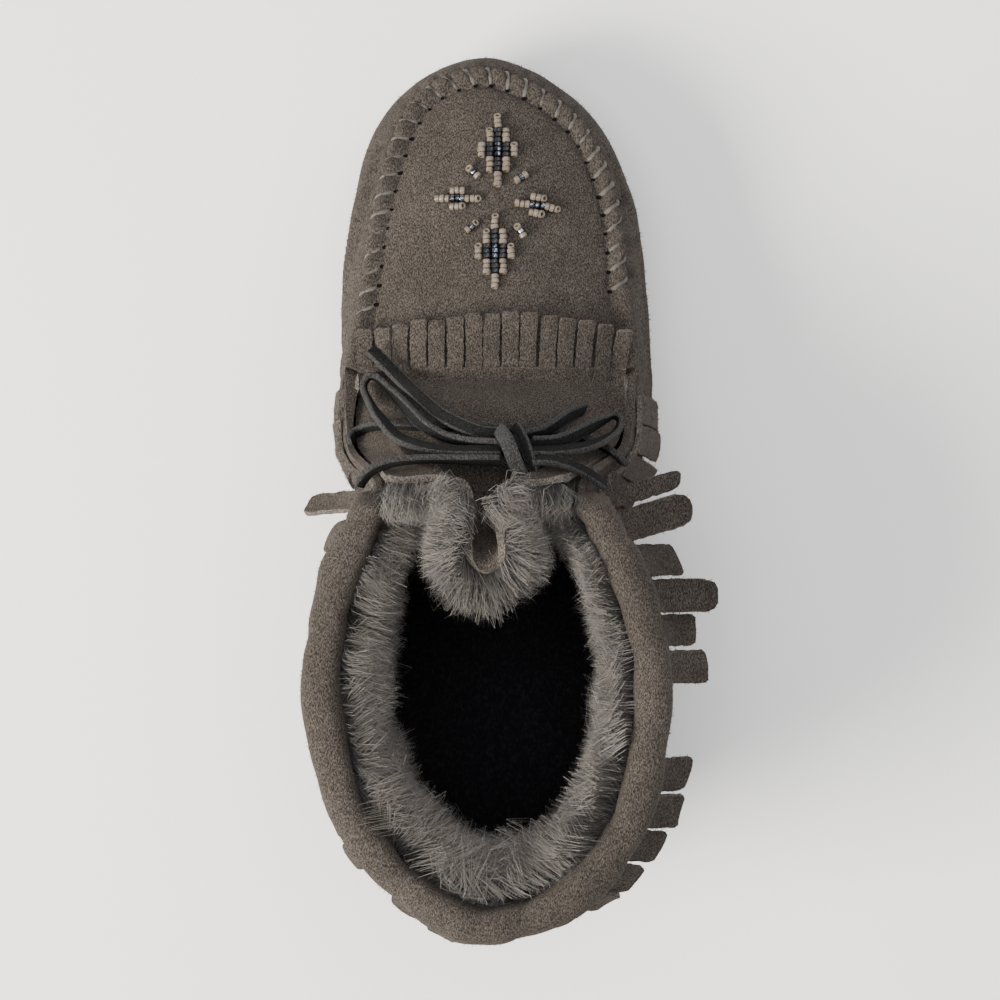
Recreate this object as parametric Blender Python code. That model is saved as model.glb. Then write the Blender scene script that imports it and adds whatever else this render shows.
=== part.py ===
"""Lined suede moccasin for the right foot, toe towards -Y, inner ankle side towards +X, +Z up.

The upper is one hollow shell. Its side wall is a ring of columns: each column is a curve from the
feather line, where the wall meets the sole, to the top line. The top line is the apron seam in the
forefoot, the throat's edge over the instep and the rim of the collar round the ankle. The apron
closes the forefoot between the two halves of the seam. Everything else is placed from those same
columns: the insole and the fur inside them, the cuff, the fringes and the beads outside them.
"""

import math
from collections import namedtuple

import bpy
from mathutils import Vector
from mathutils.bvhtree import BVHTree

# Driving sizes, metres
LENGTH = 0.244              # feather line, toe to heel
BALL_WIDTH = 0.097          # upper over the ball of the foot
COLLAR_HEIGHT = 0.115       # floor to rim at the heel
SEAM_HEIGHT = 0.057         # floor to apron seam at its two ends
HEEL_SOLE = 0.0135          # sole under the heel, with its step
SIDE_BULGE = 0.0105         # how far the side wall swells past the line from feather to seam
APRON_CROWN = 0.012         # rise of the apron over its seam at the throat
WALL = 0.002                # suede and its backing
CLEARANCE = 0.00035         # gap between pieces that touch
FACET_GAP = 0.00018         # more room between curved pieces whose flat faces differ

# Sole
SOLE_MARGIN = 0.0015        # sole past the feather line
SOLE_EDGE_STEP = 0.0009     # bevel of the tread's edge
GROOVE_DEPTH = 0.0015
GROOVE_WIDTH = 0.0032
INSOLE_THICKNESS = 0.0036
INSOLE_INSET = 0.0009       # insole inside the wall's inner face

# Apron seam and beads
SEAM_RISE = 0.0021          # ridge of the whipped seam
SEAM_HALF = 0.0027          # half of the ridge's width
BEAD_PITCH = 0.0015         # seed bead along its thread
BEAD_WIDTH = 0.0024
BEAD_HEIGHT = 0.0016

# Collar
CUFF_RADIUS = 0.0057        # padded roll over the rim
CUFF_DROP = 0.0195          # skirt below the rim
CUFF_LIP = 0.004            # lip inside the rim
PILE = 0.0105               # fur inside the collar
TUFT = 0.003                # how much the fur's locks vary
TONGUE_PILE = 0.0042        # fur on the back of the tongue
FUR_TOP_GAP = 0.0010        # fur lining below the cuff's lip
FUR_FOOT_GAP = 0.0016       # fur lining above the insole
FUR_TOP_SHARE = 0.55        # fur's thickness at its top and foot, as a share of the pile
TONGUE_FUR_DROP = 0.0012    # tongue's fur below its top edge

# Tongue
TONGUE_HEIGHT = 0.1125      # floor to the tongue's top edge
TONGUE_WIDTH = 0.0490       # top edge, end to end
FOLD_DEPTH = 0.0268         # how far the gathered fold goes in
TONGUE_CROWN = 0.0235       # rise of the tongue's middle over its edges, at its fullest
TONGUE_WALL = 0.002

# Fringe and lace
STRIP_LENGTH = 0.029
STRIP_THICKNESS = 0.0016
STRIP_WIDTH = 0.0068
STRIP_GAP = 0.0016
VAMP_STRIP_LENGTH = 0.0195
VAMP_STRIP_WIDTH = 0.0048
VAMP_STRIP_GAP = 0.0009
LACE_WIDTH = 0.0036
LACE_THICKNESS = 0.0018

# Sections of the last, toe to heel. along is a share of LENGTH, medial and lateral of BALL_WIDTH,
# lift (feather line) of HEEL_SOLE and height (top line) of COLLAR_HEIGHT, or of SEAM_HEIGHT where
# seamed is true. low and high are the wall's swelling as shares of SIDE_BULGE.
Feather = namedtuple("Feather", "along medial lateral lift")
Top = namedtuple("Top", "along medial lateral height seamed low high lean")
Crown = namedtuple("Crown", "along rise")

FEATHER_ROWS = (
    Feather(0.000, 0.031, 0.031, 0.96),
    Feather(0.029, 0.206, -0.134, 0.89),
    Feather(0.086, 0.330, -0.268, 0.74),
    Feather(0.180, 0.397, -0.371, 0.60),
    Feather(0.295, 0.412, -0.423, 0.52),
    Feather(0.385, 0.376, -0.423, 0.55),
    Feather(0.480, 0.320, -0.402, 0.67),
    Feather(0.570, 0.299, -0.381, 0.79),
    Feather(0.660, 0.304, -0.366, 0.91),
    Feather(0.762, 0.325, -0.351, 1.00),
    Feather(0.877, 0.330, -0.330, 1.00),
    Feather(0.965, 0.220, -0.220, 1.00),
    Feather(1.000, 0.000, 0.000, 1.00),
)

TOP_ROWS = (
    Top(0.002, 0.036, 0.036, 0.63, True, 0.82, 0.86, 0.30),
    Top(0.025, 0.196, -0.124, 0.65, True, 0.90, 0.92, 0.30),
    Top(0.078, 0.289, -0.273, 0.70, True, 1.00, 0.95, 0.30),
    Top(0.168, 0.351, -0.361, 0.79, True, 0.95, 0.95, 0.30),
    Top(0.283, 0.395, -0.387, 0.88, True, 0.92, 0.95, 0.30),
    Top(0.373, 0.428, -0.407, 1.00, True, 0.92, 0.85, 0.30),
    Top(0.463, 0.443, -0.397, 0.643, False, 0.95, 0.50, 0.32),
    Top(0.518, 0.345, -0.262, 0.905, False, 0.90, 0.30, 0.33),
    Top(0.611, 0.437, -0.381, 0.962, False, 0.80, 0.20, 0.33),
    Top(0.734, 0.493, -0.450, 0.982, False, 0.66, 0.05, 0.33),
    Top(0.877, 0.425, -0.400, 0.991, False, 0.57, 0.00, 0.33),
    Top(0.971, 0.240, -0.240, 1.000, False, 0.57, 0.00, 0.33),
    Top(1.012, 0.020, 0.020, 1.000, False, 0.57, 0.00, 0.33),
)

# Rise of the apron over the chord between the seams, as a share of APRON_CROWN
APRON_ROWS = (
    Crown(0.002, 0.00),
    Crown(0.025, 0.22),
    Crown(0.078, 0.45),
    Crown(0.168, 0.64),
    Crown(0.283, 0.80),
    Crown(0.373, 1.00),
)

SEAM_END = 5                # row of the throat's foot
CORNER = 7                  # row of the collar's front corners
CUFF_START = 7.0            # place where the cuff begins, at the corner
FUR_START = 7.5             # place where the fur lining begins
HEEL_ROW = len(FEATHER_ROWS) - 1
RING = 2 * HEEL_ROW
COLUMNS_PER_ROW = 2
WALL_LEVELS = 7             # rings of the side wall below the seam's ridge
APRON_CELLS = 8             # cells across the apron inside the ridge

UP = Vector((0, 0, 1))


def smooth_ring(points, place):
    """Point on the closed curve through points at place, a number of points round from the first."""
    count = len(points)
    index = math.floor(place)
    share = place - index
    before, start, end, after = (points[(index + step) % count] for step in (-1, 0, 1, 2))
    return 0.5 * (
        2 * start
        + (end - before) * share
        + (2 * before - 5 * start + 4 * end - after) * share ** 2
        + (3 * start - before - 3 * end + after) * share ** 3
    )


def along_to_y(along):
    """Distance from the toe, a share of LENGTH, as a Y coordinate with the origin under the middle."""
    return (along - 0.5) * LENGTH


def ring_of(rows, point_of):
    """Ring of values: medial side from toe to heel, then the lateral side back to the toe."""
    medial = [point_of(row, row.medial) for row in rows]
    lateral = [point_of(row, row.lateral) for row in rows[1:-1]]
    return medial + lateral[::-1]


def feather_point(row, side):
    return Vector((side * BALL_WIDTH, along_to_y(row.along), row.lift * HEEL_SOLE))


def top_point(row, side):
    height = row.height * (SEAM_HEIGHT if row.seamed else COLLAR_HEIGHT)
    return Vector((side * BALL_WIDTH, along_to_y(row.along), height))


def bulge_values(row, _side):
    return Vector((row.low * SIDE_BULGE, row.high * SIDE_BULGE, row.lean))


FEATHER_RING = ring_of(FEATHER_ROWS, feather_point)
TOP_RING = ring_of(TOP_ROWS, top_point)
BULGE_RING = ring_of(TOP_ROWS, bulge_values)


def outward(place):
    """Level direction out of the shoe at a place on the ring."""
    step = 0.1
    ahead = smooth_ring(FEATHER_RING, place + step) + smooth_ring(TOP_RING, place + step)
    behind = smooth_ring(FEATHER_RING, place - step) + smooth_ring(TOP_RING, place - step)
    return (ahead - behind).cross(UP).normalized()


def column(place):
    """The wall's curve at a place on the ring, as points from the top line down to the feather line."""
    foot = smooth_ring(FEATHER_RING, place)
    head = smooth_ring(TOP_RING, place)
    low, high, lean = smooth_ring(BULGE_RING, place)
    rise = head.z - foot.z
    out = outward(place)
    above_foot = foot + out * low + UP * (lean * rise)
    below_head = head + out * high - UP * (lean * rise)
    points = []
    steps = 28
    for index in range(steps + 1):
        share = index / steps
        rest = 1 - share
        points.append(
            head * rest ** 3
            + below_head * (3 * rest ** 2 * share)
            + above_foot * (3 * rest * share ** 2)
            + foot * share ** 3
        )
    return points


COLUMN_CACHE = {}


def column_lengths(place):
    """The column's points with their distance along the wall from the top line."""
    key = round(place % RING, 5)
    if key not in COLUMN_CACHE:
        points = column(key)
        lengths = [0.0]
        for start, end in zip(points, points[1:]):
            lengths.append(lengths[-1] + (end - start).length)
        COLUMN_CACHE[key] = (points, lengths)
    return COLUMN_CACHE[key]


def wall_height(place):
    """Length of the wall from the top line to the feather line."""
    return column_lengths(place)[1][-1]


def bare_wall_point(place, down):
    """Point on the upper's outer face, down metres below the top line."""
    points, lengths = column_lengths(place)
    down = min(max(down, 0.0), lengths[-1])
    index = 0
    while index < len(lengths) - 2 and lengths[index + 1] < down:
        index += 1
    share = (down - lengths[index]) / (lengths[index + 1] - lengths[index])
    return points[index].lerp(points[index + 1], share)


def wall_normal(place, down):
    """Direction out of the wall's outer face."""
    turn = 0.08
    drop = 0.0015
    share = down / wall_height(place)
    along = (bare_wall_point(place + turn, share * wall_height(place + turn))
             - bare_wall_point(place - turn, share * wall_height(place - turn)))
    below = bare_wall_point(place, down + drop) - bare_wall_point(place, down - drop)
    return below.cross(along).normalized()


def wall_point(place, down, proud=0.0):
    """Point proud metres outside the wall's outer face, or inside it where proud is negative."""
    return bare_wall_point(place, down) + wall_normal(place, down) * proud


# The apron's height over the floor anywhere between the seams
SEAM_SAMPLES = 60


def seam_table():
    """Y, medial X, lateral X, height and crown at even steps along the seam."""
    table = []
    for index in range(SEAM_SAMPLES + 1):
        place = SEAM_END * index / SEAM_SAMPLES
        medial = smooth_ring(TOP_RING, place)
        lateral = smooth_ring(TOP_RING, -place)
        table.append(((medial.y + lateral.y) / 2, medial.x, lateral.x, (medial.z + lateral.z) / 2))
    return table


SEAM_TABLE = seam_table()


def between(table, key, column_index):
    """Value of a table's column at a key in its first column."""
    key = min(max(key, table[0][0]), table[-1][0])
    for start, end in zip(table, table[1:]):
        if key <= end[0]:
            share = (key - start[0]) / max(end[0] - start[0], 1e-9)
            return start[column_index] + (end[column_index] - start[column_index]) * share
    return table[-1][column_index]


def apron_height(x, y):
    """Height of the apron's outer face at x, y."""
    crowns = [(along_to_y(row.along), row.rise * APRON_CROWN) for row in APRON_ROWS]
    medial = between(SEAM_TABLE, y, 1)
    lateral = between(SEAM_TABLE, y, 2)
    across = (x - (medial + lateral) / 2) / max((medial - lateral) / 2, 1e-6)
    arch = 1 - min(abs(across), 1.0) ** 2.2
    return between(SEAM_TABLE, y, 3) + between(crowns, y, 1) * arch


# Mesh helpers

def material(name, colour, roughness):
    made = bpy.data.materials.new(name)
    made.use_nodes = True
    shader = made.node_tree.nodes["Principled BSDF"]
    shader.inputs["Base Color"].default_value = (*colour, 1.0)
    shader.inputs["Roughness"].default_value = roughness
    shader.inputs["Metallic"].default_value = 0.0
    return made


def add_object(name, points, faces, finish):
    mesh = bpy.data.meshes.new(name)
    mesh.from_pydata([tuple(point) for point in points], [], faces)
    mesh.update()
    mesh.shade_smooth()
    mesh.set_sharp_from_angle(angle=math.radians(40))
    mesh.materials.append(finish)
    made = bpy.data.objects.new(name, mesh)
    bpy.context.collection.objects.link(made)
    return made


def face_normals(points, faces):
    """Direction out of each point, from the faces round it."""
    normals = [Vector((0, 0, 0)) for _ in points]
    for face in faces:
        first = points[face[0]]
        area = Vector((0, 0, 0))
        for one, two in zip(face[1:], face[2:]):
            area += (points[one] - first).cross(points[two] - first)
        for index in face:
            normals[index] += area
    return [normal.normalized() for normal in normals]


def solid_between(outer, inner, faces):
    """Closed body between two sheets of the same faces: outer faces out, inner ones back."""
    count = len(outer)
    points = list(outer) + list(inner)
    body = [tuple(face) for face in faces]
    body += [tuple(index + count for index in reversed(face)) for face in faces]
    edges = set()
    for face in faces:
        for start, end in zip(face, face[1:] + face[:1]):
            edges.add((start, end))
    for start, end in sorted(edges):
        if (end, start) not in edges:
            body.append((end, start, start + count, end + count))
    return points, body


def sheet_solid(name, sheet, faces, thickness, finish, relief=None):
    """Solid of a sheet: its outer points, raised by relief, and the same sheet thickness further in."""
    normals = face_normals(sheet, faces)
    relief = relief or [0.0] * len(sheet)
    outer = [point + normal * rise for point, normal, rise in zip(sheet, normals, relief)]
    inner = [point - normal * thickness for point, normal in zip(sheet, normals)]
    points, body = solid_between(outer, inner, faces)
    return add_object(name, points, body, finish)


def cell_faces(columns, rows, filled=lambda column, row: True, closed=False):
    """Faces of a grid of cells, column by column, only the filled ones; rows + 1 points a column."""
    faces = []
    lines = columns if closed else columns + 1
    for column_index in range(columns):
        for row in range(rows):
            if filled(column_index, row):
                left = column_index * (rows + 1) + row
                right = (column_index + 1) % lines * (rows + 1) + row
                faces.append((left, left + 1, right + 1, right))
    return faces


def used_only(points, faces):
    """The points that faces use, and the faces renumbered for them."""
    kept = sorted({index for face in faces for index in face})
    new_index = {old: new for new, old in enumerate(kept)}
    return [points[index] for index in kept], [tuple(new_index[index] for index in face) for face in faces]


# Upper

def ring_places():
    """Places of the wall's columns round the ring."""
    return [index / COLUMNS_PER_ROW for index in range(RING * COLUMNS_PER_ROW)]


def places_between(start, end):
    """The wall's columns from one place to another."""
    return [place for place in ring_places() if start - 0.001 <= place <= end + 0.001]


def level_depths(place):
    """Distance below the top line of each ring of the wall, the seam's ridge first."""
    height = wall_height(place)
    ridge = [0.0, SEAM_HALF * 0.5, SEAM_HALF]
    rest = height - SEAM_HALF
    return ridge + [SEAM_HALF + rest * level / WALL_LEVELS for level in range(1, WALL_LEVELS + 1)]


def from_toe(place):
    """Rows from the toe at a place on either side of the ring."""
    place = place % RING
    return min(place, RING - place)


def ridge_share(place):
    """1 along the apron seam, fading out at the throat's foot."""
    return min(1.0, max(0.0, (SEAM_END + 0.75 - from_toe(place)) / 0.75))


def upper_sheet():
    """Outer face of the upper, as points, faces and the rise of the seam at each point."""
    places = ring_places()
    levels = len(level_depths(0.0))
    points = []
    relief = []
    for place in places:
        for level, depth in enumerate(level_depths(place)):
            points.append(bare_wall_point(place, depth))
            relief.append(SEAM_RISE * (1.0, 0.8, 0.0)[level] * ridge_share(place) if level < 3 else 0.0)
    faces = []
    for index in range(len(places)):
        following = (index + 1) % len(places)
        for level in range(levels - 1):
            here = index * levels + level
            there = following * levels + level
            faces.append((here, here + 1, there + 1, there))
    add_apron(points, relief, faces, levels)
    return points, relief, faces


def add_apron(points, relief, faces, levels):
    """Closes the forefoot: two rings inside the seam, then rows from side to side."""
    count = len(ring_places())
    last = SEAM_END * COLUMNS_PER_ROW
    seam = [index % count for index in range(-last, last + 1)]
    rings = [[index * levels for index in seam]]
    for inset, rise in ((SEAM_HALF * 0.5, 0.8), (SEAM_HALF, 0.0)):
        ring = []
        for index in seam:
            place = index / COLUMNS_PER_ROW
            edge = points[index * levels]
            inside = edge - outward(place) * inset
            if abs(from_toe(place) - SEAM_END) < 0.01:
                inside.y = edge.y
            ring.append(len(points))
            points.append(Vector((inside.x, inside.y, apron_height(inside.x, inside.y))))
            relief.append(SEAM_RISE * rise)
        rings.append(ring)
    for outer, inner in zip(rings, rings[1:]):
        for index in range(len(outer) - 1):
            faces.append((outer[index], outer[index + 1], inner[index + 1], inner[index]))
    inner = rings[-1]
    rows = [[inner[last]]]
    for step in range(1, last + 1):
        lateral = inner[last - step]
        medial = inner[last + step]
        row = [lateral]
        for cell in range(1, APRON_CELLS):
            flat = points[lateral].lerp(points[medial], cell / APRON_CELLS)
            row.append(len(points))
            points.append(Vector((flat.x, flat.y, apron_height(flat.x, flat.y))))
            relief.append(0.0)
        row.append(medial)
        rows.append(row)
    for index in range(APRON_CELLS):
        faces.append((rows[0][0], rows[1][index + 1], rows[1][index]))
    for front, back in zip(rows[1:], rows[2:]):
        for index in range(APRON_CELLS):
            faces.append((front[index], front[index + 1], back[index + 1], back[index]))


def make_upper(finish):
    points, relief, faces = upper_sheet()
    return sheet_solid("upper", points, faces, WALL, finish, relief)


# Sole and insole

Tread = namedtuple("Tread", "along height")
# Height of the tread over the floor, as a share of HEEL_SOLE: toe spring, flat ball, waist, flat heel
TREAD_ROWS = (
    Tread(-0.01, 0.46),
    Tread(0.03, 0.33),
    Tread(0.09, 0.13),
    Tread(0.17, 0.00),
    Tread(0.44, 0.00),
    Tread(0.50, 0.10),
    Tread(0.60, 0.13),
    Tread(0.655, 0.13),
    Tread(0.662, 0.00),
    Tread(0.965, 0.00),
    Tread(1.01, 0.08),
)
FOREFOOT_GROOVES = (0.185, 0.235, 0.285, 0.335, 0.385)
HEEL_GROOVES = (0.715, 0.775, 0.835, 0.895)
SOLE_CELLS = 4


def sole_side(side, y):
    """X of the feather line on one side (+1 medial, -1 lateral) at y."""
    samples = []
    for index in range(HEEL_ROW * 6 + 1):
        place = side * index / 6
        point = smooth_ring(FEATHER_RING, place)
        samples.append((point.y, point.x, point.z))
    samples.sort()
    return between(samples, y, 1), between(samples, y, 2)


def outline_at(along, margin):
    """Sole's two edges and height at along, margin metres outside the feather line."""
    half = LENGTH / 2
    scale = (half + margin) / half
    y = along_to_y(along)
    medial, height = sole_side(1, y / scale)
    lateral, _ = sole_side(-1, y / scale)
    middle = (medial + lateral) / 2
    medial = middle + (medial - middle) + margin
    lateral = middle + (lateral - middle) - margin
    return y, medial, lateral, height


def make_outsole(finish):
    groove = GROOVE_WIDTH / LENGTH / 2
    bevel = groove * 0.25
    ends = 0.5 + SOLE_MARGIN / LENGTH
    rows = []
    for share in (0.0, 0.008, 0.022, 0.045, 0.075, 0.11, 0.15, 0.44, 0.49, 0.55, 0.61, 0.655, 0.662):
        rows.append((share, 0.0))
    for share in (0.93, 0.955, 0.975, 0.99, 0.997, 1.0):
        rows.append((share, 0.0))
    for middle in FOREFOOT_GROOVES + HEEL_GROOVES:
        rows += [(middle - groove - bevel, 0.0), (middle - groove, 1.0)]
        rows += [(middle + groove, 1.0), (middle + groove + bevel, 0.0)]
    rows.sort()
    tread = [(along_to_y(row.along), row.height * HEEL_SOLE) for row in TREAD_ROWS]
    top = []
    edge = []
    floor = []
    for share, cut in rows:
        along = 0.5 + (share - 0.5) * 2 * ends
        y, medial, lateral, height = outline_at(along, SOLE_MARGIN)
        if share in (0.0, 1.0):
            medial, lateral = medial - SOLE_MARGIN, lateral + SOLE_MARGIN
            middle = (medial + lateral) / 2
            medial, lateral = middle + SOLE_MARGIN * 2, middle - SOLE_MARGIN * 2
        under = between(tread, y, 1) + cut * GROOVE_DEPTH
        for cell in range(SOLE_CELLS + 1):
            across = cell / SOLE_CELLS
            x = lateral + (medial - lateral) * across
            inner_x = x + (lateral + medial - 2 * x) / max(medial - lateral, 1e-6) * 2 * SOLE_EDGE_STEP
            top.append(Vector((inner_x, y, height - CLEARANCE)))
            edge.append(Vector((x, y, (between(tread, y, 1) + height) / 2 + GROOVE_DEPTH / 2)))
            floor.append(Vector((inner_x, y, under)))
    count = len(rows)
    stride = SOLE_CELLS + 1
    points = top + floor
    offset = len(top)
    faces = []
    for row in range(count - 1):
        for cell in range(SOLE_CELLS):
            here = row * stride + cell
            faces.append((here, here + 1, here + 1 + stride, here + stride))
            low = here + offset
            faces.append((low, low + stride, low + 1 + stride, low + 1))
    rim = [cell for cell in range(stride)]
    rim += [row * stride + SOLE_CELLS for row in range(1, count)]
    rim += [(count - 1) * stride + cell for cell in range(SOLE_CELLS - 1, -1, -1)]
    rim += [row * stride for row in range(count - 2, 0, -1)]
    middle_ring = {}
    for index in rim:
        middle_ring[index] = len(points)
        points.append(edge[index])
    for start, end in zip(rim, rim[1:] + rim[:1]):
        faces.append((end, start, middle_ring[start], middle_ring[end]))
        faces.append((middle_ring[end], middle_ring[start], start + offset, end + offset))
    return add_object("outsole", points, faces, finish)


def make_insole(finish):
    """Sock on the sole, inside the wall all round."""
    inset = WALL + INSOLE_INSET
    places = ring_places()
    half = len(places) // 2
    top = []
    low = []
    for place in places:
        point = smooth_ring(FEATHER_RING, place)
        inside = point - outward(place) * inset
        low.append(Vector((inside.x, inside.y, point.z)))
        top.append(Vector((inside.x, inside.y, point.z + INSOLE_THICKNESS)))
    count = len(places)
    points = top + low
    faces = []
    for index in range(count):
        following = (index + 1) % count
        faces.append((following, index, index + count, following + count))
    for step in range(half):
        if step == 0:
            rows = [(0, 1, count - 1)]
        elif step == half - 1:
            rows = [(step, step + 1, count - step)]
        else:
            rows = [(step, step + 1, count - step - 1, count - step)]
        for row in rows:
            faces.append(row)
            faces.append(tuple(index + count for index in reversed(row)))
    return add_object("insole", points, faces, finish)


# Tongue

Fold = namedtuple("Fold", "across forward thick")
# Top edge of the tongue from its medial to its lateral end. across is a share of TONGUE_WIDTH,
# forward of FOLD_DEPTH (negative goes into the shoe), thick of TONGUE_PILE.
TONGUE_FOLD = (
    Fold(0.00, 0.02, 0.5),
    Fold(0.10, 0.00, 0.9),
    Fold(0.25, 0.02, 1.0),
    Fold(0.37, 0.00, 0.5),
    Fold(0.455, -0.05, 0.15),
    Fold(0.500, -0.20, 0.15),
    Fold(0.497, -0.46, 0.6),
    Fold(0.470, -0.74, 1.0),
    Fold(0.505, -0.93, 1.0),
    Fold(0.585, -1.00, 1.0),
    Fold(0.665, -0.93, 1.0),
    Fold(0.700, -0.76, 1.0),
    Fold(0.675, -0.52, 0.6),
    Fold(0.645, -0.26, 0.15),
    Fold(0.675, -0.10, 0.15),
    Fold(0.750, -0.04, 0.5),
    Fold(0.87, -0.02, 0.9),
    Fold(1.00, 0.02, 0.5),
)

Rise = namedtuple("Rise", "place crown folded")
# Rows of the tongue from its foot under the apron to its top edge: the ring place that holds its
# edges, its middle's rise as a share of TONGUE_CROWN and how far the fold is in, from 0 to 1
TONGUE_ROWS = (
    Rise(4.75, 0.574, 0.00),
    Rise(5.08, 0.574, 0.00),
    Rise(5.32, 0.732, 0.00),
    Rise(5.65, 0.872, 0.00),
    Rise(5.98, 1.000, 0.05),
    Rise(6.28, 0.979, 0.25),
    Rise(6.58, 0.809, 0.55),
    Rise(6.85, 0.511, 0.82),
    Rise(7.00, 0.000, 1.00),
)
TONGUE_FRONT_Y = along_to_y(0.502)
TONGUE_MIDDLE_X = 0.0055
TONGUE_TUCK = 0.0042        # tongue's edges below the throat's edge
EDGE_GAP = 0.0013           # more room beside the tongue's edges, for the wall's flat faces
TONGUE_GAP = 0.0005         # more room under the apron, whose faces are flat between its rows


def tongue_edge(place):
    """Edge of the tongue inside the quarter's wall at a place on the ring."""
    return wall_point(place, TONGUE_TUCK, -(WALL + CLEARANCE + EDGE_GAP))


def tongue_sheet():
    points = []
    piles = []
    for row in TONGUE_ROWS:
        medial = tongue_edge(row.place)
        lateral = tongue_edge(-row.place)
        for fold in TONGUE_FOLD:
            even = TONGUE_FOLD.index(fold) / (len(TONGUE_FOLD) - 1)
            flat = medial.lerp(lateral, even)
            arch = 1 - abs(2 * even - 1) ** 2
            bowed = flat + UP * (row.crown * TONGUE_CROWN * arch)
            if row.place < SEAM_END + 0.1:
                under = apron_height(bowed.x, bowed.y) - WALL - CLEARANCE - TONGUE_GAP
                bowed.z = min(under, bowed.z)
            folded = Vector((
                TONGUE_MIDDLE_X + (0.5 - fold.across) * TONGUE_WIDTH,
                TONGUE_FRONT_Y - fold.forward * FOLD_DEPTH,
                TONGUE_HEIGHT,
            ))
            height = bowed.z + (folded.z - bowed.z) * (1.0 if row.folded == 1.0 else row.folded ** 1.3)
            mixed = bowed.lerp(folded, row.folded)
            points.append(Vector((mixed.x, mixed.y, height)))
            piles.append(fold.thick * TONGUE_PILE)
    faces = [face[::-1] for face in cell_faces(len(TONGUE_ROWS) - 1, len(TONGUE_FOLD) - 1)]
    return points, faces, piles


def make_tongue(finish):
    points, faces, _ = tongue_sheet()
    return sheet_solid("tongue", points, faces, TONGUE_WALL, finish)


# Collar

CuffRow = namedtuple("CuffRow", "part outer_out outer_up inner_out inner_up")
# Cuff's section from the skirt's hem over the rim to the lip. On the skirt and the lip the up values
# are depths below the rim as shares of CUFF_DROP and CUFF_LIP; out values are shares of CUFF_RADIUS
# past the wall's face. Over the rim both are shares of CUFF_RADIUS.
CUFF_ROWS = (
    CuffRow("skirt", 0.50, -1.00, 0.0, -1.00),
    CuffRow("skirt", 0.80, -0.62, 0.0, -0.60),
    CuffRow("skirt", 0.99, -0.25, 0.0, -0.22),
    CuffRow("rim", 0.96, 0.42, 0.08, 0.08),
    CuffRow("rim", 0.50, 0.90, -0.02, 0.09),
    CuffRow("rim", -0.18, 1.04, -0.18, 0.10),
    CuffRow("rim", -0.80, 0.72, -0.38, 0.09),
    CuffRow("lip", -1.04, -0.10, 0.0, -0.20),
    CuffRow("lip", -0.92, -1.05, 0.0, -1.00),
)


def cuff_point(place, part, out_share, up_share, inner):
    """A point of the cuff's section at a place on the ring."""
    if part == "rim":
        rim = smooth_ring(TOP_RING, place)
        return rim + outward(place) * (out_share * CUFF_RADIUS) + UP * (up_share * CUFF_RADIUS)
    if part == "skirt":
        proud = CLEARANCE + FACET_GAP if inner else out_share * CUFF_RADIUS
        return wall_point(place, -up_share * CUFF_DROP, proud)
    proud = -(WALL + CLEARANCE + FACET_GAP) if inner else out_share * CUFF_RADIUS
    return wall_point(place, -up_share * CUFF_LIP, proud)


def make_cuff(finish):
    places = places_between(CUFF_START, RING - CUFF_START)
    outer = []
    inner = []
    for place in places:
        for row in CUFF_ROWS:
            outer.append(cuff_point(place, row.part, row.outer_out, row.outer_up, False))
            inner.append(cuff_point(place, row.part, row.inner_out, row.inner_up, True))
    faces = [face[::-1] for face in cell_faces(len(places) - 1, len(CUFF_ROWS) - 1)]
    points, body = solid_between(outer, inner, faces)
    return add_object("cuff", points, body, finish)


def lock(column_index, row):
    """How far a lock of fur stands out, from 0 to 1, in an uneven repeating order."""
    return (math.sin(column_index * 2.4 + row * 1.1) * math.sin(row * 2.2 + column_index * 0.7) + 1) / 2


def make_fur_lining(finish):
    """Fur inside the collar and round the heel, from under the cuff's lip down to the insole."""
    places = places_between(FUR_START, RING - FUR_START)
    back = WALL + CLEARANCE + 2 * FACET_GAP
    columns = []
    for place in places:
        height = wall_height(place)
        foot = height - INSOLE_THICKNESS - FUR_FOOT_GAP
        depths = [CUFF_LIP + FUR_TOP_GAP] + [
            depth for depth in level_depths(place) if CUFF_LIP * 2 < depth < foot - CUFF_LIP]
        depths.append(foot)
        outer = [wall_point(place, depth, -back) for depth in depths]
        inner = [wall_point(place, depth, -back - PILE) for depth in depths]
        columns.append((outer, inner))
    outer_points = []
    inner_points = []
    rows = len(columns[0][0])
    for index, (outer, inner) in enumerate(columns):
        halves = [0.0] if index == len(columns) - 1 else [0.0, 0.5]
        for half in halves:
            following = columns[index + 1] if half else (outer, inner)
            line = round(2 * (index + half))
            for row in range(rows):
                wall_side = outer[row].lerp(following[0][row], half)
                tips = inner[row].lerp(following[1][row], half)
                reach = 1 - TUFT / PILE * lock(line, row)
                if row in (0, rows - 1):
                    reach = FUR_TOP_SHARE
                outer_points.append(wall_side)
                inner_points.append(wall_side.lerp(tips, reach))
    lines = len(outer_points) // rows
    faces = cell_faces(lines - 1, rows - 1)
    points, body = solid_between(outer_points, inner_points, faces)
    return add_object("fur_lining", points, body, finish)


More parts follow.
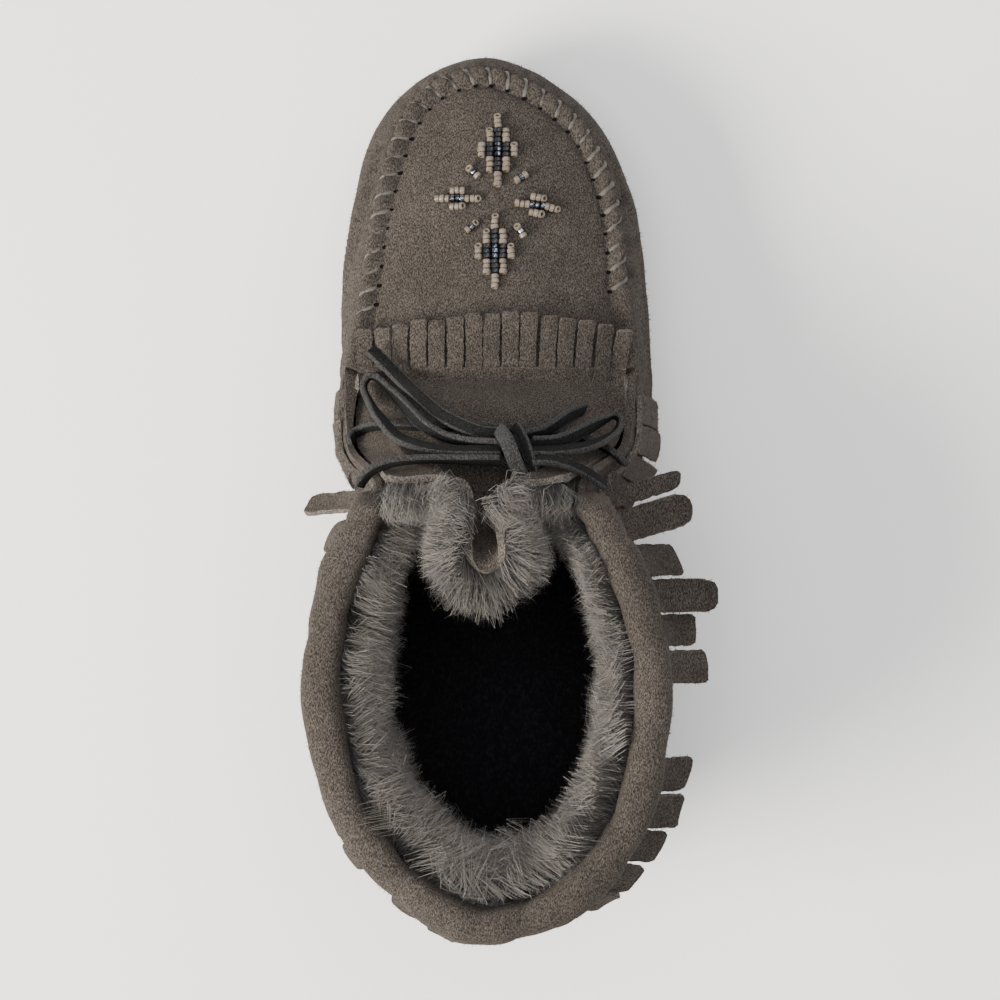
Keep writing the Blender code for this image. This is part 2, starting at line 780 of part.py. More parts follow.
def make_tongue_fur(finish):
    """Fur on the back of the tongue, over its upper part."""
    points, faces, piles = tongue_sheet()
    normals = face_normals(points, faces)
    columns = len(TONGUE_FOLD)
    first_row = 3
    rows = len(TONGUE_ROWS) - first_row
    front = []
    back = []
    for column_index in range(1, columns - 1):
        for row in range(first_row, len(TONGUE_ROWS)):
            index = row * columns + column_index
            pile = piles[index] * (1 - TUFT / PILE * lock(column_index, row))
            gap = TONGUE_WALL + CLEARANCE + FACET_GAP
            surface = points[index] - normals[index] * gap
            if row == len(TONGUE_ROWS) - 1:
                below = points[index - columns] - normals[index - columns] * gap
                surface = surface + (below - surface).normalized() * TONGUE_FUR_DROP
            front.append(surface)
            back.append(surface - normals[index] * pile)
    points, body = solid_between(front, back, cell_faces(columns - 3, rows - 1))
    return add_object("tongue_fur", points, body, finish)


# Fringe

FringeRoot = namedtuple("FringeRoot", "place drop")
# Root of the fringe below the top line, as a share of CUFF_DROP, from the seam's end round to the collar
FRINGE_ROOTS = (
    FringeRoot(5.05, 0.30),
    FringeRoot(5.60, 0.36),
    FringeRoot(6.10, 0.55),
    FringeRoot(6.60, 0.92),
    FringeRoot(6.95, 1.16),
    FringeRoot(7.25, 1.10),
    FringeRoot(7.60, 1.04),
    FringeRoot(12.0, 1.04),
)
FRINGE_START = 5.05
ROOT_BAND = 0.0032          # band that joins the strips
STRIP_LEVELS = 3
STRIP_PROUD = 0.0010        # back of the band off the wall's face
STRIP_FLARE = 0.0085        # how far a strip's end stands off, on average
STRIP_LEAN = 0.0026         # how far strips lean to one side
STRIP_TWIST = 0.0022        # how far a strip's two edges part as it turns
STRIP_TAPER = 0.0006        # how much each edge comes in at a strip's end
STRIP_RELIEF = 0.0004       # strips off the wall below their band
QUARTER_FLARE = 0.35        # share of the flare that the strips on the quarters have


def fringe_root_depth(place):
    table = [(row.place, row.drop * CUFF_DROP) for row in FRINGE_ROOTS]
    return between(table, from_toe(place), 1)


def fringe_line():
    """Places along the fringe's root with the distance run, at fine steps."""
    samples = []
    run = 0.0
    steps = 700
    before = None
    for index in range(steps + 1):
        place = FRINGE_START + (RING - 2 * FRINGE_START) * index / steps
        point = wall_point(place, fringe_root_depth(place), STRIP_PROUD)
        if before is not None:
            run += (point - before).length
        samples.append((run, place))
        before = point
    return samples


def fringe_point(samples, run, depth, proud):
    place = between(samples, run, 1)
    root = fringe_root_depth(place)
    height = wall_height(place)
    return wall_point(place, min(root + depth, height - 0.002), proud)


def make_cuff_fringe(finish):
    samples = fringe_line()
    total = samples[-1][0]
    pitch = STRIP_WIDTH + STRIP_GAP
    count = int((total - STRIP_WIDTH) / pitch)
    spare = (total - count * pitch - STRIP_WIDTH) / 2
    rows = STRIP_LEVELS + 1
    back = []
    front = []
    for strip in range(count + 1):
        left = spare + strip * pitch
        lean = STRIP_LEAN * math.sin(strip * 0.9)
        flare = STRIP_FLARE * (0.65 + 0.35 * math.sin(strip * 2.1 + 0.6))
        if from_toe(between(samples, left, 1)) < CORNER:
            flare *= QUARTER_FLARE
        twist = STRIP_TWIST * math.sin(strip * 1.7)
        for side, run in ((-1, left), (1, left + STRIP_WIDTH)):
            for row in range(rows + 1):
                hang = max(row - 1, 0) / STRIP_LEVELS
                depth = ROOT_BAND * min(row, 1) + (STRIP_LENGTH - ROOT_BAND) * hang
                proud = STRIP_PROUD + flare * hang ** 1.5 + twist * side * hang
                proud += STRIP_RELIEF if hang > 0 else 0.0
                moved = run + lean * hang
                narrow = -side * STRIP_TAPER * hang
                back.append(fringe_point(samples, moved + narrow, depth, proud))
                front.append(fringe_point(samples, moved + narrow, depth, proud + STRIP_THICKNESS))
    lines = 2 * (count + 1)

    def filled(column_index, row):
        return row == 0 or column_index % 2 == 0

    faces = cell_faces(lines - 1, rows, filled)
    front, kept = used_only(front, faces)
    back, _ = used_only(back, faces)
    points, body = solid_between(front, back, kept)
    return add_object("cuff_fringe", points, body, finish)


def mesh_tree(*things):
    """Search tree over the faces of several objects."""
    points = []
    faces = []
    for thing in things:
        base = len(points)
        points += [vertex.co.copy() for vertex in thing.data.vertices]
        faces += [tuple(index + base for index in face.vertices) for face in thing.data.polygons]
    return BVHTree.FromPolygons(points, faces)


def height_on(tree, x, y):
    """Height of the highest face of the tree at x, y."""
    hit = tree.ray_cast(Vector((x, y, COLLAR_HEIGHT * 2)), -UP)
    return hit[0].z if hit[0] else 0.0


VampStrip = namedtuple("VampStrip", "across length")
# Ends of the forward-pointing fringe: share of its width from the medial side, share of its length
VAMP_ENDS = (
    VampStrip(0.00, 0.62),
    VampStrip(0.20, 0.86),
    VampStrip(0.50, 1.00),
    VampStrip(0.80, 0.90),
    VampStrip(1.00, 0.80),
)
VAMP_INSET = 0.0008         # fringe's ends inside the seam's two halves
VAMP_FAN = -0.03            # how far the strips fan out towards the sides
VAMP_LIFT = 0.0006


def make_vamp_fringe(finish, upper_tree):
    root_y = along_to_y(TOP_ROWS[SEAM_END].along) - CLEARANCE
    band_y = root_y - VAMP_STRIP_WIDTH
    medial = TOP_ROWS[SEAM_END].medial * BALL_WIDTH - VAMP_INSET
    lateral = TOP_ROWS[SEAM_END].lateral * BALL_WIDTH + VAMP_INSET
    pitch = VAMP_STRIP_WIDTH + VAMP_STRIP_GAP
    count = int((medial - lateral + VAMP_STRIP_GAP) / pitch)
    width = count * pitch - VAMP_STRIP_GAP
    first = (medial + lateral) / 2 + width / 2
    ends = [(row.across, row.length * VAMP_STRIP_LENGTH) for row in VAMP_ENDS]
    levels = 4
    bottom = []
    top = []
    for strip in range(count):
        length = between(ends, (strip + 0.5) / count, 1)
        for side in (0, 1):
            x = first - strip * pitch - side * VAMP_STRIP_WIDTH
            fan = (x - (medial + lateral) / 2) * VAMP_FAN
            for level in range(levels + 1):
                share = max(level - 1, 0) / (levels - 1)
                y = root_y if level == 0 else band_y - (length - VAMP_STRIP_WIDTH) * share
                x_here = x - fan * share
                z = height_on(upper_tree, x_here, y) + CLEARANCE + VAMP_LIFT * (1 + share)
                bottom.append(Vector((x_here, y, z)))
                top.append(Vector((x_here, y, z + STRIP_THICKNESS)))

    def filled(column_index, row):
        return row == 0 or column_index % 2 == 0

    faces = [face[::-1] for face in cell_faces(2 * count - 1, levels, filled)]
    top, kept = used_only(top, faces)
    bottom, _ = used_only(bottom, faces)
    points, body = solid_between(top, bottom, kept)
    return add_object("vamp_fringe", points, body, finish)


# Beads

Motif = namedtuple("Motif", "name along side turn kind")
# Groups of beads: middle as shares of LENGTH and BALL_WIDTH, turn of the bead rows in degrees
MOTIFS = (
    Motif("beads_front_diamond", 0.100, -0.009, 90, "upright"),
    Motif("beads_back_diamond", 0.227, 0.000, 90, "upright"),
    Motif("beads_medial_diamond", 0.161, 0.116, 0, "level"),
    Motif("beads_lateral_diamond", 0.170, -0.129, 8, "level"),
    Motif("beads_dash_1", 0.128, 0.066, 135, "dash"),
    Motif("beads_dash_2", 0.135, -0.081, 34, "dash"),
    Motif("beads_dash_3", 0.196, 0.072, 42, "dash"),
    Motif("beads_dash_4", 0.202, -0.078, 124, "dash"),
)
# Beads in each thread of a motif, the middle thread first
BEAD_THREADS = {
    "upright": (15, 9, 3),
    "level": (9, 3),
    "dash": (3,),
}


def make_motif(motif, finish, upper_tree):
    """One group of beads as a low plate with a step at each bead's place."""
    threads = BEAD_THREADS[motif.kind]
    longest = threads[0]
    reach = len(threads) - 1
    turn = math.radians(motif.turn)
    run = Vector((math.cos(turn), math.sin(turn), 0))
    across = Vector((-math.sin(turn), math.cos(turn), 0))
    middle = Vector((motif.side * BALL_WIDTH, along_to_y(motif.along), 0))
    low = []
    high = []
    for line in range(2 * reach + 2):
        for bead in range(longest + 1):
            flat = middle + across * ((line - reach - 0.5) * BEAD_WIDTH)
            flat += run * ((bead - longest / 2) * BEAD_PITCH)
            z = height_on(upper_tree, flat.x, flat.y) + CLEARANCE
            low.append(Vector((flat.x, flat.y, z)))
            high.append(Vector((flat.x, flat.y, z + BEAD_HEIGHT)))

    def filled(column_index, row):
        beads = threads[abs(column_index - reach)]
        return abs(row - (longest - 1) / 2) < beads / 2

    faces = cell_faces(2 * reach + 1, longest, filled)
    high, kept = used_only(high, faces)
    low, _ = used_only(low, faces)
    points, body = solid_between(high, low, kept)
    return add_object(motif.name, points, body, finish)


# Lace

LacePoint = namedtuple("LacePoint", "x y z")
# Middle of the lace from end to end. The bar's z is its height over the tongue and the quarters.
BAR = (
    LacePoint(0.0425, -0.0100, 0.0003),
    LacePoint(0.0400, -0.0128, 0.0010),
    LacePoint(0.0340, -0.0145, 0.0003),
    LacePoint(0.0160, -0.0140, 0.0003),
    LacePoint(-0.0050, -0.0135, 0.0003),
    LacePoint(-0.0240, -0.0110, 0.0003),
    LacePoint(-0.0320, -0.0080, 0.0014),
    LacePoint(-0.0370, -0.0040, 0.0003),
)
# From the cuff's two front ends to the knot
LEFT_STRAND = (
    LacePoint(0.0385, 0.0030, 0.1010),
    LacePoint(0.0355, -0.0008, 0.1020),
    LacePoint(0.0300, -0.0034, 0.1020),
    LacePoint(0.0240, -0.0043, 0.1025),
    LacePoint(0.0170, -0.0046, 0.1030),
    LacePoint(0.0100, -0.0044, 0.1035),
    LacePoint(0.0040, -0.0042, 0.1040),
    LacePoint(-0.0014, -0.0040, 0.1042),
)
RIGHT_STRAND = (
    LacePoint(-0.0106, -0.0042, 0.1035),
    LacePoint(-0.0160, -0.0042, 0.1035),
    LacePoint(-0.0215, -0.0028, 0.1030),
    LacePoint(-0.0270, 0.0000, 0.1022),
    LacePoint(-0.0312, 0.0030, 0.1010),
)
# Bow, from the knot and back to it
LEFT_LOOP = (
    LacePoint(-0.0014, -0.0068, 0.1015),
    LacePoint(0.0030, -0.0068, 0.1020),
    LacePoint(0.0097, -0.0068, 0.1018),
    LacePoint(0.0160, -0.0072, 0.1000),
    LacePoint(0.0220, -0.0086, 0.0960),
    LacePoint(0.0280, -0.0112, 0.0896),
    LacePoint(0.0330, -0.0165, 0.0816),
    LacePoint(0.0368, -0.0220, 0.0695),
    LacePoint(0.0386, -0.0262, 0.0650),
    LacePoint(0.0372, -0.0292, 0.0640),
    LacePoint(0.0344, -0.0288, 0.0648),
    LacePoint(0.0305, -0.0250, 0.0690),
    LacePoint(0.0257, -0.0198, 0.0802),
    LacePoint(0.0208, -0.0148, 0.0896),
    LacePoint(0.0145, -0.0112, 0.0930),
    LacePoint(0.0080, -0.0096, 0.0970),
    LacePoint(0.0030, -0.0092, 0.0985),
    LacePoint(-0.0014, -0.0091, 0.0990),
)
RIGHT_LOOP = (
    LacePoint(-0.0106, -0.0092, 0.0985),
    LacePoint(-0.0181, -0.0098, 0.0955),
    LacePoint(-0.0252, -0.0128, 0.0880),
    LacePoint(-0.0310, -0.0160, 0.0806),
    LacePoint(-0.0345, -0.0176, 0.0768),
    LacePoint(-0.0364, -0.0162, 0.0768),
    LacePoint(-0.0352, -0.0128, 0.0800),
    LacePoint(-0.0304, -0.0098, 0.0880),
    LacePoint(-0.0252, -0.0080, 0.0935),
    LacePoint(-0.0187, -0.0070, 0.0985),
    LacePoint(-0.0140, -0.0068, 0.1005),
    LacePoint(-0.0106, -0.0068, 0.1010),
)
LEFT_TAIL = (
    LacePoint(-0.0014, -0.0116, 0.0950),
    LacePoint(0.0040, -0.0122, 0.0955),
    LacePoint(0.0090, -0.0140, 0.0938),
    LacePoint(0.0157, -0.0176, 0.0882),
    LacePoint(0.0215, -0.0226, 0.0790),
    LacePoint(0.0271, -0.0278, 0.0710),
    LacePoint(0.0318, -0.0326, 0.0675),
    LacePoint(0.0365, -0.0372, 0.0658),
)
RIGHT_TAIL = (
    LacePoint(-0.0106, -0.0120, 0.0945),
    LacePoint(-0.0140, -0.0128, 0.0925),
    LacePoint(-0.0178, -0.0150, 0.0893),
    LacePoint(-0.0218, -0.0176, 0.0810),
    LacePoint(-0.0258, -0.0196, 0.0735),
)
KNOT_MIDDLE = Vector((-0.0060, -0.0078, 0.0992))
KNOT_SIZE = Vector((0.0076, 0.0150, 0.0088))
KNOT_TILT = 52              # degrees, along the tongue's slope
KNOT_TAPER = 0.45           # how much thinner the knot is at its two ends
LACE_STEP = 0.0035


def smooth_route(points):
    """Even points on the smooth open curve through points."""
    fine = []
    for index in range(len(points) - 1):
        before = points[max(index - 1, 0)]
        start, end = points[index], points[index + 1]
        after = points[min(index + 2, len(points) - 1)]
        pieces = max(1, round((end - start).length / LACE_STEP))
        for piece in range(pieces):
            share = piece / pieces
            fine.append(0.5 * (
                2 * start
                + (end - before) * share
                + (2 * before - 5 * start + 4 * end - after) * share ** 2
                + (3 * start - before - 3 * end + after) * share ** 3
            ))
    fine.append(points[-1])
    return fine


def lace_ribbon(name, points, finish):
    """Flat lace on its edge along points: a closed body of LACE_WIDTH by LACE_THICKNESS."""
    corners = []
    for index, point in enumerate(points):
        ahead = points[min(index + 1, len(points) - 1)]
        behind = points[max(index - 1, 0)]
        tangent = (ahead - behind).normalized()
        side = tangent.cross(UP).normalized() * (LACE_THICKNESS / 2)
        rise = side.cross(tangent).normalized() * (LACE_WIDTH / 2)
        corners += [point + side + rise, point - side + rise, point - side - rise, point + side - rise]
    faces = []
    for start in range(0, len(corners) - 4, 4):
        for corner in range(4):
            here = start + corner
            there = start + (corner + 1) % 4
            faces.append((here, here + 4, there + 4, there))
    faces.append((0, 1, 2, 3))
    last = len(corners) - 4
    faces.append((last + 3, last + 2, last + 1, last))
    return add_object(name, corners, faces, finish)


def make_bar(finish, tree):
    """Lace across the tongue from quarter to quarter, lying on what is under it."""
    reach = LACE_WIDTH / 2
    lifted = []
    for point in smooth_route([Vector(place) for place in BAR]):
        under = max(
            height_on(tree, point.x + across, point.y + along)
            for across in (-reach, 0, reach) for along in (-LACE_THICKNESS / 2, LACE_THICKNESS / 2)
        )
        lifted.append(Vector((point.x, point.y, under + point.z + CLEARANCE + reach)))
    return lace_ribbon("lace_bar", lifted, finish)


def make_strand(name, route, finish):
    return lace_ribbon(name, smooth_route([Vector(place) for place in route]), finish)


def make_knot(finish):
    """Turns of the knot as one rounded body."""
    rings = 7
    sides = 10
    points = []
    for ring in range(rings):
        across = -1 + 2 * ring / (rings - 1)
        swell = 1 - KNOT_TAPER * abs(across) ** 3
        for side in range(sides):
            turn = 2 * math.pi * side / sides
            flat = Vector((
                across * KNOT_SIZE.x / 2,
                math.cos(turn) * swell * KNOT_SIZE.y / 2,
                math.sin(turn) * swell * KNOT_SIZE.z / 2,
            ))
            tilt = math.radians(KNOT_TILT)
            points.append(KNOT_MIDDLE + Vector((
                flat.x,
                flat.y * math.cos(tilt) - flat.z * math.sin(tilt),
                flat.y * math.sin(tilt) + flat.z * math.cos(tilt),
            )))
    faces = []
    for ring in range(rings - 1):
        for side in range(sides):
            here = ring * sides + side
            there = ring * sides + (side + 1) % sides
            faces.append((here, there, there + sides, here + sides))
    faces.append(tuple(range(sides))[::-1])
    faces.append(tuple(range((rings - 1) * sides, rings * sides)))
    return add_object("lace_knot", points, faces, finish)


def centre_on_floor(things):
    """Moves the model so that the middle of its outline is over the origin."""
    corners = [vertex.co for thing in things for vertex in thing.data.vertices]
    middle_x = (min(corner.x for corner in corners) + max(corner.x for corner in corners)) / 2
    middle_y = (min(corner.y for corner in corners) + max(corner.y for corner in corners)) / 2
    for thing in bpy.data.objects:
        thing.location = (-middle_x, -middle_y, 0.0)


def build():
    for old in list(bpy.data.objects):
        bpy.data.objects.remove(old, do_unlink=True)
    suede = material("taupe_suede", (0.11, 0.093, 0.078), 0.95)
    lace_suede = material("grey_lace_suede", (0.055, 0.056, 0.06), 0.95)
    rubber = material("crepe_rubber", (0.05, 0.045, 0.04), 0.8)
    cloth = material("black_lining_cloth", (0.012, 0.012, 0.013), 0.9)
    fur = material("grey_fur", (0.2, 0.18, 0.16), 1.0)
    glass = material("glass_beads", (0.3, 0.26, 0.22), 0.2)
    outsole = make_outsole(rubber)
    insole = make_insole(cloth)
    upper = make_upper(suede)
    tongue = make_tongue(suede)
    upper_tree = mesh_tree(upper)
    vamp_fringe = make_vamp_fringe(suede, upper_tree)
    things = [outsole, insole, upper, tongue, vamp_fringe]
    things += [make_tongue_fur(fur), make_fur_lining(fur), make_cuff(suede), make_cuff_fringe(suede)]
    things += [make_motif(motif, glass, upper_tree) for motif in MOTIFS]
    things.append(make_bar(lace_suede, mesh_tree(upper, tongue, vamp_fringe)))
    things.append(make_strand("lace_left", LEFT_STRAND, lace_suede))
    things.append(make_strand("lace_right", RIGHT_STRAND, lace_suede))
    make_knot(lace_suede)
    make_strand("lace_loop_left", LEFT_LOOP, lace_suede)
    make_strand("lace_loop_right", RIGHT_LOOP, lace_suede)
    make_strand("lace_tail_left", LEFT_TAIL, lace_suede)
    make_strand("lace_tail_right", RIGHT_TAIL, lace_suede)
    centre_on_floor(things)


build()
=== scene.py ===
"""Looks of the lined suede moccasin: right shoe, toe towards -Y, inner ankle side towards +X.

The shoe's form is worked out once, by Last, from the same sections as the solids. Each sub-assembly
is a class that takes its places from the Last and dresses them: skin, seam, beads, tongue, cuff,
fringes, fur, lace and sole.
"""

import logging
import math
import random
from collections.abc import Sequence
from dataclasses import dataclass, field
from enum import Enum
from typing import NamedTuple

import bpy
import numpy as np
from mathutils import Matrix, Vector, noise
from mathutils.bvhtree import BVHTree


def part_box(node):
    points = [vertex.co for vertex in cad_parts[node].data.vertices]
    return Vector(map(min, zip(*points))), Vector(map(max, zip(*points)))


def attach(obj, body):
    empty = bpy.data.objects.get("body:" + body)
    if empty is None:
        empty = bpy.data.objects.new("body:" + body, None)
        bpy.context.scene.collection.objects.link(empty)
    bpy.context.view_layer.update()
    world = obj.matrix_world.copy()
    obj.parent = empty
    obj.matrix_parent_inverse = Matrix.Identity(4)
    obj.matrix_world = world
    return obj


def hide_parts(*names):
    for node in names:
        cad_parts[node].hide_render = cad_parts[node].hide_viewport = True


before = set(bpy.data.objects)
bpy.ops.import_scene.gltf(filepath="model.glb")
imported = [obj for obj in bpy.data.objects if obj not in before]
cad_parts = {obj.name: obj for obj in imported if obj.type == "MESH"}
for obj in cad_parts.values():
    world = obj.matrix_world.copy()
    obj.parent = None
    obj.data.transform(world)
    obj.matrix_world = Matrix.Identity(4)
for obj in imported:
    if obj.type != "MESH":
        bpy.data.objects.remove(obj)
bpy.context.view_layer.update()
LOG = logging.getLogger("moccasin")
MM = 0.001
UP = np.array((0.0, 0.0, 1.0))
Array = np.ndarray
Colour = tuple[float, float, float, float]


class Slot(Enum):
    """The record's material slots."""

    SUEDE = "taupe_suede"
    LACE = "grey_lace_suede"
    RUBBER = "crepe_rubber"
    CLOTH = "black_lining_cloth"
    FUR = "grey_fur"
    BEADS = "glass_beads"


class Bead(Enum):
    """Kinds of seed bead, by their place in the bead pieces' material list."""

    TAN = 0
    BLACK = 1
    METAL = 2


# Sections of the last, toe to heel. along is a share of the length, medial and lateral of the ball's
# width, lift of the heel's sole, height of the collar's height, or of the seam's where seamed is
# true. low and high are the wall's swelling as shares of the side bulge.

class FeatherRow(NamedTuple):
    """Section of the line where the wall meets the sole."""

    along: float
    medial: float
    lateral: float
    lift: float


class TopRow(NamedTuple):
    """Section of the top line."""

    along: float
    medial: float
    lateral: float
    height: float
    seamed: bool
    low: float
    high: float
    lean: float


FEATHER_ROWS = (
    FeatherRow(0.000, 0.031, 0.031, 0.96),
    FeatherRow(0.029, 0.206, -0.134, 0.89),
    FeatherRow(0.086, 0.330, -0.268, 0.74),
    FeatherRow(0.180, 0.397, -0.371, 0.60),
    FeatherRow(0.295, 0.412, -0.423, 0.52),
    FeatherRow(0.385, 0.376, -0.423, 0.55),
    FeatherRow(0.480, 0.320, -0.402, 0.67),
    FeatherRow(0.570, 0.299, -0.381, 0.79),
    FeatherRow(0.660, 0.304, -0.366, 0.91),
    FeatherRow(0.762, 0.325, -0.351, 1.00),
    FeatherRow(0.877, 0.330, -0.330, 1.00),
    FeatherRow(0.965, 0.220, -0.220, 1.00),
    FeatherRow(1.000, 0.000, 0.000, 1.00),
)

TOP_ROWS = (
    TopRow(0.002, 0.036, 0.036, 0.63, True, 0.82, 0.86, 0.30),
    TopRow(0.025, 0.196, -0.124, 0.65, True, 0.90, 0.92, 0.30),
    TopRow(0.078, 0.289, -0.273, 0.70, True, 1.00, 0.95, 0.30),
    TopRow(0.168, 0.351, -0.361, 0.79, True, 0.95, 0.95, 0.30),
    TopRow(0.283, 0.395, -0.387, 0.88, True, 0.92, 0.95, 0.30),
    TopRow(0.373, 0.428, -0.407, 1.00, True, 0.92, 0.85, 0.30),
    TopRow(0.463, 0.443, -0.397, 0.643, False, 0.95, 0.50, 0.32),
    TopRow(0.518, 0.345, -0.262, 0.905, False, 0.90, 0.30, 0.33),
    TopRow(0.611, 0.437, -0.381, 0.962, False, 0.80, 0.20, 0.33),
    TopRow(0.734, 0.493, -0.450, 0.982, False, 0.66, 0.05, 0.33),
    TopRow(0.877, 0.425, -0.400, 0.991, False, 0.57, 0.00, 0.33),
    TopRow(0.971, 0.240, -0.240, 1.000, False, 0.57, 0.00, 0.33),
    TopRow(1.012, 0.020, 0.020, 1.000, False, 0.57, 0.00, 0.33),
)

# Places on the ring of sections: 0 at the toe, up the medial side to the heel, back on the lateral
SEAM_END = 5.0
CORNER = 7.0
HEEL = 12
RING = 24

# Apron's rise over the chord between its seams: share of the length, share of the crown
APRON_ALONG = (0.002, 0.025, 0.078, 0.168, 0.283, 0.373)
APRON_RISE = (0.00, 0.22, 0.45, 0.64, 0.80, 1.00)


def linear(code: str) -> Colour:
    """Linear colour of an sRGB hex code.

    Args:
        code: Colour such as "#5f5850".

    Returns:
        Red, green, blue and an alpha of 1.
    """
    values = [int(code[start:start + 2], 16) / 255 for start in (1, 3, 5)]
    red, green, blue = (
        value / 12.92 if value <= 0.04045 else ((value + 0.055) / 1.055) ** 2.4 for value in values
    )
    return red, green, blue, 1.0


def smooth_value(keys: Sequence[float], values: Sequence[float], at: Array) -> Array:
    """Smooth curve through a short table.

    Args:
        keys: Rising keys of the table.
        values: Value at each key.
        at: Where to read the curve.

    Returns:
        The curve's values, held level past both ends.
    """
    keys = np.asarray(keys, float)
    values = np.asarray(values, float)
    slopes = np.gradient(values, keys)
    at = np.clip(at, keys[0], keys[-1])
    index = np.clip(np.searchsorted(keys, at, side="right") - 1, 0, len(keys) - 2)
    span = keys[index + 1] - keys[index]
    share = (at - keys[index]) / span
    start = values[index] * (2 * share ** 3 - 3 * share ** 2 + 1)
    end = values[index + 1] * (3 * share ** 2 - 2 * share ** 3)
    leave = slopes[index] * span * (share ** 3 - 2 * share ** 2 + share)
    arrive = slopes[index + 1] * span * (share ** 3 - share ** 2)
    return start + end + leave + arrive


def curve_between(before: Array, start: Array, end: Array, after: Array, share: Array) -> Array:
    """Catmull-Rom point between start and end."""
    return 0.5 * (
        2 * start
        + (end - before) * share
        + (2 * before - 5 * start + 4 * end - after) * share ** 2
        + (3 * start - before - 3 * end + after) * share ** 3
    )


def ring_point(ring: Array, place: Array) -> Array:
    """Points of a closed smooth curve.

    Args:
        ring: Points that the curve passes through.
        place: Places on the ring, in points from the first.

    Returns:
        One point for each place.
    """
    place = np.asarray(place, float)
    index = np.floor(place).astype(int)
    share = (place - index)[..., None]
    before, start, end, after = (ring[(index + step) % len(ring)] for step in (-1, 0, 1, 2))
    return curve_between(before, start, end, after, share)


def refine(points: Array, pieces: int) -> Array:
    """Smooth open curve, or sheet along its first axis.

    Args:
        points: Points, or rows of points, that the curve passes through.
        pieces: Steps from each point to the next.

    Returns:
        The finer points.
    """
    last = len(points) - 1
    place = np.linspace(0, last, last * pieces + 1)
    index = np.minimum(np.floor(place).astype(int), last - 1)
    share = (place - index).reshape((-1,) + (1,) * (points.ndim - 1))
    before = points[np.maximum(index - 1, 0)]
    after = points[np.minimum(index + 2, last)]
    return curve_between(before, points[index], points[index + 1], after, share)


def even_curve(points: Array, step: float) -> Array:
    """Smooth curve through points, in even steps.

    Args:
        points: Points that the curve passes through.
        step: Distance from one to the next, in metres.

    Returns:
        Points along the curve.
    """
    fine = refine(points, 12)
    run = np.concatenate(((0.0,), np.cumsum(np.linalg.norm(np.diff(fine, axis=0), axis=1))))
    count = max(3, round(run[-1] / step) + 1)
    at = np.linspace(0, run[-1], count)
    return np.stack([np.interp(at, run, fine[:, axis]) for axis in range(3)], axis=1)


def unit(vectors: Array) -> Array:
    """Vectors of length 1 in the same directions."""
    return vectors / np.maximum(np.linalg.norm(vectors, axis=-1, keepdims=True), 1e-12)


def wavy(points: Array, size: float, seed: float = 0.0) -> Array:
    """Soft uneven value from -1 to 1 at each point.

    Args:
        points: Places to read, any shape that ends in 3.
        size: Rough width of one swelling, in metres.
        seed: Moves the pattern, so that two uses differ.

    Returns:
        One value for each point.
    """
    flat = points.reshape(-1, 3) / size + seed
    values = np.array([noise.noise(Vector(point)) for point in flat])
    return values.reshape(points.shape[:-1])


def normals_of(points: Array, faces: Array) -> Array:
    """Direction out of each point of a mesh of quads."""
    across = points[faces[:, 2]] - points[faces[:, 0]]
    down = points[faces[:, 3]] - points[faces[:, 1]]
    area = np.cross(across, down)
    normals = np.zeros_like(points)
    for corner in range(4):
        np.add.at(normals, faces[:, corner], area)
    return unit(normals)


def grid_faces(columns: int, rows: int, closed: bool = False) -> Array:
    """Quads of a grid of points stored column by column.

    Args:
        columns: Columns of points.
        rows: Points in a column.
        closed: Whether the last column meets the first.

    Returns:
        Four indices for each quad.
    """
    left = np.arange(columns if closed else columns - 1)
    right = (left + 1) % columns
    row = np.arange(rows - 1)
    corners = (
        left[:, None] * rows + row,
        left[:, None] * rows + row + 1,
        right[:, None] * rows + row + 1,
        right[:, None] * rows + row,
    )
    return np.stack(corners, axis=-1).reshape(-1, 4)


def add_piece(
    name: str,
    points: Array,
    faces: Sequence,
    shades: Sequence[int] | None,
    finishes: Sequence[bpy.types.Material],
    slot: Slot,
    uvs: Array | None = None,
    replaces: Sequence[str] = (),
) -> bpy.types.Object:
    """Makes a mesh piece of the shoe.

    Args:
        name: The piece's name.
        points: Its points, in metres.
        faces: Indices of each face's points.
        shades: Which finish each face has, or None for the first.
        finishes: Its materials.
        slot: Not used.
        uvs: Texture place of each point.
        replaces: CAD nodes that it stands for.

    Returns:
        The new object.
    """
    used, flat = np.unique(np.concatenate([np.asarray(face) for face in faces]), return_inverse=True)
    ends = np.cumsum([len(face) for face in faces])
    renumbered = [part.tolist() for part in np.split(flat, ends[:-1])]
    mesh = bpy.data.meshes.new(name)
    mesh.from_pydata(np.asarray(points, float)[used].tolist(), [], renumbered)
    for finish in finishes:
        mesh.materials.append(finish)
    if shades is not None:
        mesh.polygons.foreach_set("material_index", np.asarray(shades, np.int32))
    if uvs is not None:
        corners = np.zeros(len(mesh.loops), np.int32)
        mesh.loops.foreach_get("vertex_index", corners)
        layer = mesh.uv_layers.new(name="strand")
        layer.data.foreach_set("uv", np.asarray(uvs, np.float32)[used][corners].ravel())
    mesh.shade_smooth()
    mesh.set_sharp_from_angle(angle=math.radians(50))
    mesh.update()
    piece = bpy.data.objects.new(name, mesh)
    bpy.context.collection.objects.link(piece)
    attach(piece, "root")
    if replaces:
        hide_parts(*replaces)
    LOG.info("%s: %d faces", name, len(mesh.polygons))
    return piece


